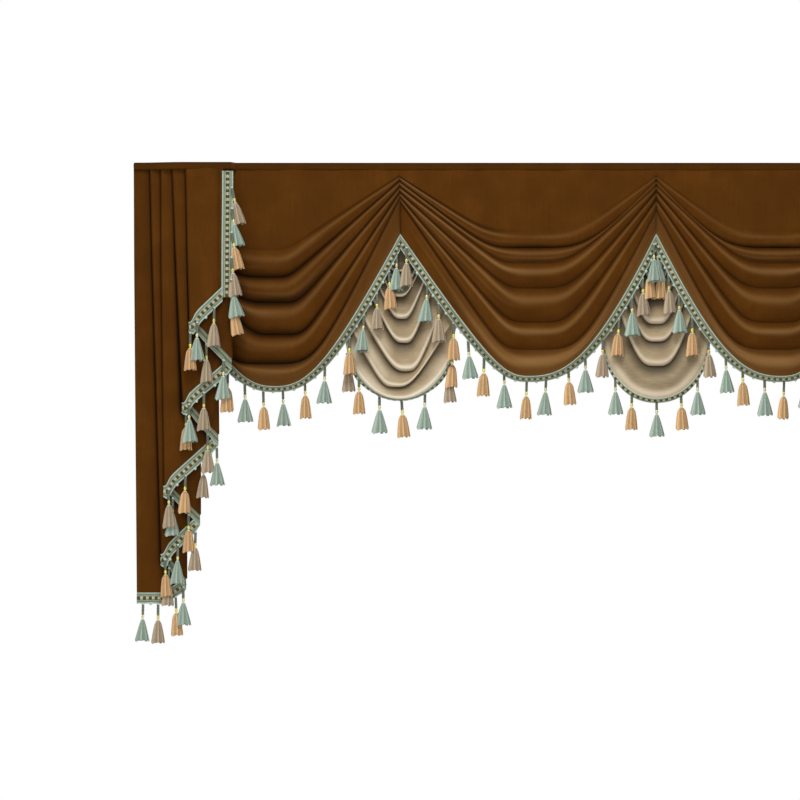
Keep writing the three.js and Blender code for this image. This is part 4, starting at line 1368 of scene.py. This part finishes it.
def yarn_skirt(tree, skirt, seed):
    """Yarns round a filling, all from the neck, that cling together in locks of uneven length and tone."""
    number = add(tree, "GeometryNodeInputIndex").outputs[0]
    turn = calculated(tree, "MULTIPLY", number, 2 * math.pi / YARNS)
    lock = calculated(tree, "FLOOR", calculated(tree, "DIVIDE", number, LOCK_YARNS))
    long = by_chance(tree, YARN_LENGTHS, lock, seed)
    sockets = {
        "Points": add(tree, "GeometryNodePoints", {"Count": YARNS}),
        "Instance": yarn(tree, skirt),
        "Rotation": add(tree, "FunctionNodeAxisAngleToRotation", {"Axis": (0, 0, 1), "Angle": turn}),
        "Scale": add(tree, "ShaderNodeCombineXYZ", {"X": 1.0, "Y": 1.0, "Z": long}),
    }
    hung = add(tree, "GeometryNodeInstanceOnPoints", sockets)
    tone = by_chance(tree, YARN_TONES, lock, calculated(tree, "ADD", seed, 1))
    strand = by_chance(tree, YARN_TONES, number, calculated(tree, "ADD", seed, 2))
    shade = sum_of(tree, (tone, LOCK_TONE_SHARE), (strand, STRAND_TONE_SHARE))
    toned = marked(tree, hung, "shade", shade, "INSTANCE")

    neck = lerp(NECK_RADIUS, skirt.flare, FILLING_FROM**skirt.shoulder)
    sockets = {
        "Vertices": FILLING_SIDES,
        "Radius Top": FILLING_TOP_WITHIN * neck * MM,
        "Radius Bottom": FILLING_FOOT_WITHIN * skirt.flare * MM,
        "Depth": (FILLING_TO - FILLING_FROM) * SKIRT_LENGTH * MM,
    }
    filling = add(tree, "GeometryNodeMeshCone", sockets, fill_type="NGON").outputs["Mesh"]
    # The filling carries no shade value, so the yarn finish paints it dark: painted shade inside the skirt.
    filled = marked(tree, shifted(tree, filling, FILLING_TO * SKIRT_LENGTH), "kind", FILLER)
    return shifted(tree, joined(tree, [toned, filled]), SKIRT_TOP)


def tassel_tree(yarn_finish, cord_finish, bead_finish, knot_finish):
    """A tassel on every point, of the point's dye, turned, and as deep as the point says."""
    tree, given, result = geometry_tree("tassels", {"Seed": "NodeSocketInt"})
    upright = (1, 1, BEAD_HALF_HEIGHT / BEAD_RADIUS)
    flat = (1, 1, COLLAR_FLAT)
    upper = [
        ball(tree, KNOT_RADIUS, 0, KNOT, 8, 5),
        twisted_cord(tree),
        ball(tree, BEAD_RADIUS, CORD_LENGTH + BEAD_HALF_HEIGHT, BEAD, 12, 8, upright),
        ball(tree, NECK_RADIUS + COLLAR_OVER, SKIRT_TOP + COLLAR_DROP, KNOT, 10, 5, flat),
    ]
    rotation = add(tree, "FunctionNodeEulerToRotation", {"Euler": named(tree, "turn", "FLOAT_VECTOR")})
    hung = []
    for skirt, colour in ((CONE, MINT), (BELL, TAN), (LOOSE, TAUPE)):
        whole = joined(tree, upper + [yarn_skirt(tree, skirt, given["Seed"])])
        sockets = {
            "Points": given["Geometry"],
            "Selection": where_equal(tree, "dye", colour),
            "Instance": marked(tree, whole, "tone", MINT_THREAD),
            "Rotation": rotation,
            "Scale": named(tree, "size", "FLOAT_VECTOR"),
        }
        hung.append(add(tree, "GeometryNodeInstanceOnPoints", sockets))
    soft = add(tree, "GeometryNodeSetShadeSmooth", {"Geometry": joined(tree, hung)})
    dressed = add(tree, "GeometryNodeRealizeInstances", {"Geometry": soft})
    dressed = add(tree, "GeometryNodeSetMaterial", {"Geometry": dressed, "Material": yarn_finish})
    for kind, material in ((CORD, cord_finish), (BEAD, bead_finish), (KNOT, knot_finish)):
        sockets = {"Geometry": dressed, "Selection": where_equal(tree, "kind", kind), "Material": material}
        dressed = add(tree, "GeometryNodeSetMaterial", sockets)
    tree.links.new(dressed.outputs["Geometry"], result["Geometry"])
    return tree


def tassel_roots(hem, places):
    """Where tassels leave the braid, by their x and drop: at its free edge, or behind it on steep hems."""
    x, drop = np.array(places, float).T
    x = np.clip(x, hem.line[0, 0] + ROOT_MARGIN, hem.line[-1, 0] - ROOT_MARGIN)
    free = at(braid_place(hem, 1)[0], hem.line[:, 0], x)
    steep = smooth(hem.wider, STEEP_FROM, BRAID_MOST_WIDER)
    behind = np.interp(x, hem.line[:, 0], lerp(LEVEL_ROOT_BACK, STEEP_ROOT_BACK, steep))
    return np.stack([x, free[:, 1] + behind, np.maximum(-drop, free[:, 2] - ROOT_MARGIN)], -1)


def under_roots(places):
    """Where an under-swag's tassels come out from behind its hem."""
    x = np.array(places, float)
    roots = at(left_under_hem.line, left_under_hem.line[:, 0], x) + UNDER_ROOT_SHIFT
    roots[:, 1] = np.minimum(roots[:, 1], UNDER_ROOT_FRONT)
    return roots


def tuft_places(hem, places):
    """Places on the braid's free edge, one midway between every two tassels."""
    x = np.array(places, float)[:, 0]
    return at(braid_place(hem, 1)[0], hem.line[:, 0], (x[1:] + x[:-1]) / 2)


def tufted(label, points):
    """A row of small tufts of the braid's own thread."""
    way, facing = (np.broadcast_to(side, points.shape) for side in (ALONG, FRONT))
    mint = np.full(len(points), MINT_THREAD)
    return stitched("tufts_" + label, (points, way, facing), mint, [TUFT_SIZE] * 3, 0)


def pushed_forward(points, deep, cloths):
    """The angle by which the cloths behind its skirt keep each tassel from hanging straight down."""
    angles = np.zeros(len(points))
    for cloth in cloths:
        away = cloth.reshape(1, -1, 3) - points[:, None]
        beside = np.abs(away[..., 0]) < CONE.flare
        below = (away[..., 2] < -SKIRT_TOP) & (away[..., 2] > -SKIRT_TOP - SKIRT_LENGTH)
        push = np.where(beside & below, -away[..., 1], -np.inf).max(axis=1) + deep * CONE.flare
        angles = np.maximum(angles, np.arctan2(np.maximum(push, 0), SKIRT_TOP + SKIRT_LENGTH / 2))
    return np.minimum(angles, MOST_PUSHED)


def tasselled(label, points, dyes, deep, lean=0, cloths=()):
    """A row of tassels, each hanging a little its own way, in front of the cloths behind it."""
    words = dyes.split()
    count = len(words)
    chance = np.random.default_rng(count + len(label))
    nod = chance.normal(0, TASSEL_NOD, count) - pushed_forward(points, deep, cloths)
    sway = lean + chance.normal(0, TASSEL_SWAY, count)
    twist = chance.normal(0, TASSEL_TWIST, count)
    wide = chance.uniform(*TASSEL_WIDTHS, count)
    long = chance.uniform(*TASSEL_LENGTHS, count)
    values = {
        "dye": [DYES[word] for word in words],
        "turn": np.stack([nod, sway, twist], -1),
        "size": np.stack([wide, np.full(count, deep), long], -1),
    }
    made = spread("tassels_" + label, points, values, tassels, {"Seed": YARN_SEED})
    return fastened(made)


tassels = tassel_tree(yarn_material(), cord_material(), bead_material(), thread)

middle_roots = tassel_roots(middle_hem, MIDDLE_ROOTS)
middle_roots[[0, -1], 1] -= TOP_ROOTS_FORWARD
left_roots = tassel_roots(left_hem, LEFT_ROOTS)
right_roots = tassel_roots(right_hem, RIGHT_ROOTS) * MIRROR
cream_left_roots = under_roots(CREAM_LEFT_ROOTS_X) - (SEAM_X, 0, 0)
cream_right_roots = under_roots(CREAM_RIGHT_ROOTS_X) + (SEAM_X, 0, 0)

tail_roots, tail_tufts = [], []
cascade_pleat = at(tail.pleat, lengths(tail_line), lengths(cascade_hem.line))
for layer, (dyes, places) in enumerate(TAIL_PLEATS):
    shown = cascade_pleat == layer
    order = np.argsort(cascade_hem.line[shown, 0])
    pleat = Hem(*(values[shown][order] for values in cascade_hem))
    tail_roots.append(tassel_roots(pleat, places) + TAIL_ROOT_SHIFT)
    if layer % 2 == 0:
        tail_tufts.append(tuft_places(pleat, places))
tail_roots, tail_tufts = np.concatenate(tail_roots), np.concatenate(tail_tufts)

edge_runs = np.interp(EDGE_ROOT_DROPS, edge_drops[::-1], lengths(edge_line)[::-1])
edge_roots = at(braid_place(edge_hem, 1)[0], lengths(edge_line), edge_runs) + EDGE_ROOT_SHIFT

left_cream, right_cream = under - (SEAM_X, 0, 0), even_under + (SEAM_X, 0, 0)
tassel_rows = {
    "swag_middle": (middle_roots, MIDDLE_DYES, SWAG_DEEP, 0, [left_cream, right_cream]),
    "swag_left": (left_roots, LEFT_DYES, SWAG_DEEP, 0, [left_cream]),
    "swag_right": (right_roots, RIGHT_DYES, SWAG_DEEP, 0, [right_cream]),
    "cream_left": (cream_left_roots, CREAM_LEFT_DYES, UNDER_DEEP),
    "cream_right": (cream_right_roots, CREAM_RIGHT_DYES, UNDER_DEEP),
    "tail_left": (tail_roots, TAIL_DYES, TAIL_DEEP),
    "tail_right": (tail_roots * MIRROR, TAIL_DYES, TAIL_DEEP),
    "edge_left": (edge_roots, EDGE_DYES, TAIL_DEEP, -EDGE_LEAN),
    "edge_right": (edge_roots * MIRROR, EDGE_DYES, TAIL_DEEP, EDGE_LEAN),
}
rows = {label: tasselled(label, *row) for label, row in tassel_rows.items()}
tuft_rows = {
    "swag_middle": tuft_places(middle_hem, MIDDLE_ROOTS),
    "swag_left": tuft_places(left_hem, LEFT_ROOTS),
    "swag_right": tuft_places(right_hem, RIGHT_ROOTS) * MIRROR,
    "tail_left": tail_tufts,
    "tail_right": tail_tufts * MIRROR,
}
tufts = {label: tufted(label, points) for label, points in tuft_rows.items()}


# Setting. A pale floor below, a large soft light above and in front, weaker ones from the left
# and from behind, and a faint one from the floor.
FLOOR_Z = -1.4
FLOOR_HALF_WIDTH = 1.8
FLOOR_FRONT = -1.5
FLOOR_BACK = 0.7
AMBIENT = 0.26
CAMERA_X = -0.256
CAMERA_Z = -0.474
CAMERA_AWAY = 8
FRAME_WIDTH = 1.6
SENSOR = 36


def pale_floor():
    """A matt, almost white floor with faint marks."""
    material, tree, shader = finish("pale_floor", Roughness=0.8, Specular_IOR_Level=0.2)
    marks = noise(tree, 6, 4)
    colour = ramp(tree, marks, (0.35, dye(233, 232, 229)), (0.65, dye(238, 237, 234)))
    tree.links.new(colour, shader.inputs["Base Color"])
    return material


floor_mesh = bpy.data.meshes.new("floor")
floor_corners = [
    (-FLOOR_HALF_WIDTH, FLOOR_FRONT, FLOOR_Z),
    (FLOOR_HALF_WIDTH, FLOOR_FRONT, FLOOR_Z),
    (FLOOR_HALF_WIDTH, FLOOR_BACK, FLOOR_Z),
    (-FLOOR_HALF_WIDTH, FLOOR_BACK, FLOOR_Z),
]
floor_mesh.from_pydata(floor_corners, [], [(0, 1, 2, 3)])
floor_mesh.materials.append(pale_floor())
floor = bpy.data.objects.new("floor", floor_mesh)
bpy.context.scene.collection.objects.link(floor)


def soft_light(name, place, aim, size, power):
    """A square light that shines from a place towards an aim."""
    lamp = bpy.data.lights.new(name, "AREA")
    lamp.size = size
    lamp.energy = power
    made = bpy.data.objects.new(name, lamp)
    made.location = place
    made.rotation_euler = (Vector(aim) - Vector(place)).to_track_quat("-Z", "Y").to_euler()
    made.visible_camera = False
    bpy.context.scene.collection.objects.link(made)


soft_light("light_above", place=(-0.3, -2.0, 2.8), aim=(0, 0, -0.4), size=1.6, power=104)
soft_light("light_left", place=(-2.0, -3.6, 0.2), aim=(0, 0, -0.4), size=2.5, power=31)
soft_light("light_below", place=(0.0, -1.1, -1.35), aim=(0, 0, -0.35), size=1.6, power=12)
soft_light("light_behind", place=(0.8, 3.2, 1.0), aim=(0, 0, -0.4), size=2.5, power=60)

world = bpy.data.worlds.new("studio")
world.use_nodes = True
studio = world.node_tree
studio.nodes.clear()
seen = add(studio, "ShaderNodeLightPath").outputs["Is Camera Ray"]
around = add(studio, "ShaderNodeBackground", {"Color": (1, 1, 1, 1), "Strength": AMBIENT})
behind = add(studio, "ShaderNodeBackground", {"Color": (1, 1, 1, 1), "Strength": 1.0})
either = add(studio, "ShaderNodeMixShader", {0: seen, 1: around, 2: behind})
add(studio, "ShaderNodeOutputWorld", {"Surface": either})
bpy.context.scene.world = world

lens = bpy.data.cameras.new("camera")
lens.sensor_width = SENSOR
lens.lens = SENSOR * CAMERA_AWAY / FRAME_WIDTH
camera = bpy.data.objects.new("camera", lens)
camera.location = (CAMERA_X, -CAMERA_AWAY, CAMERA_Z)
camera.rotation_euler = (math.radians(90), 0, 0)
bpy.context.scene.collection.objects.link(camera)
bpy.context.scene.camera = camera
bpy.context.scene.view_settings.view_transform = "Standard"
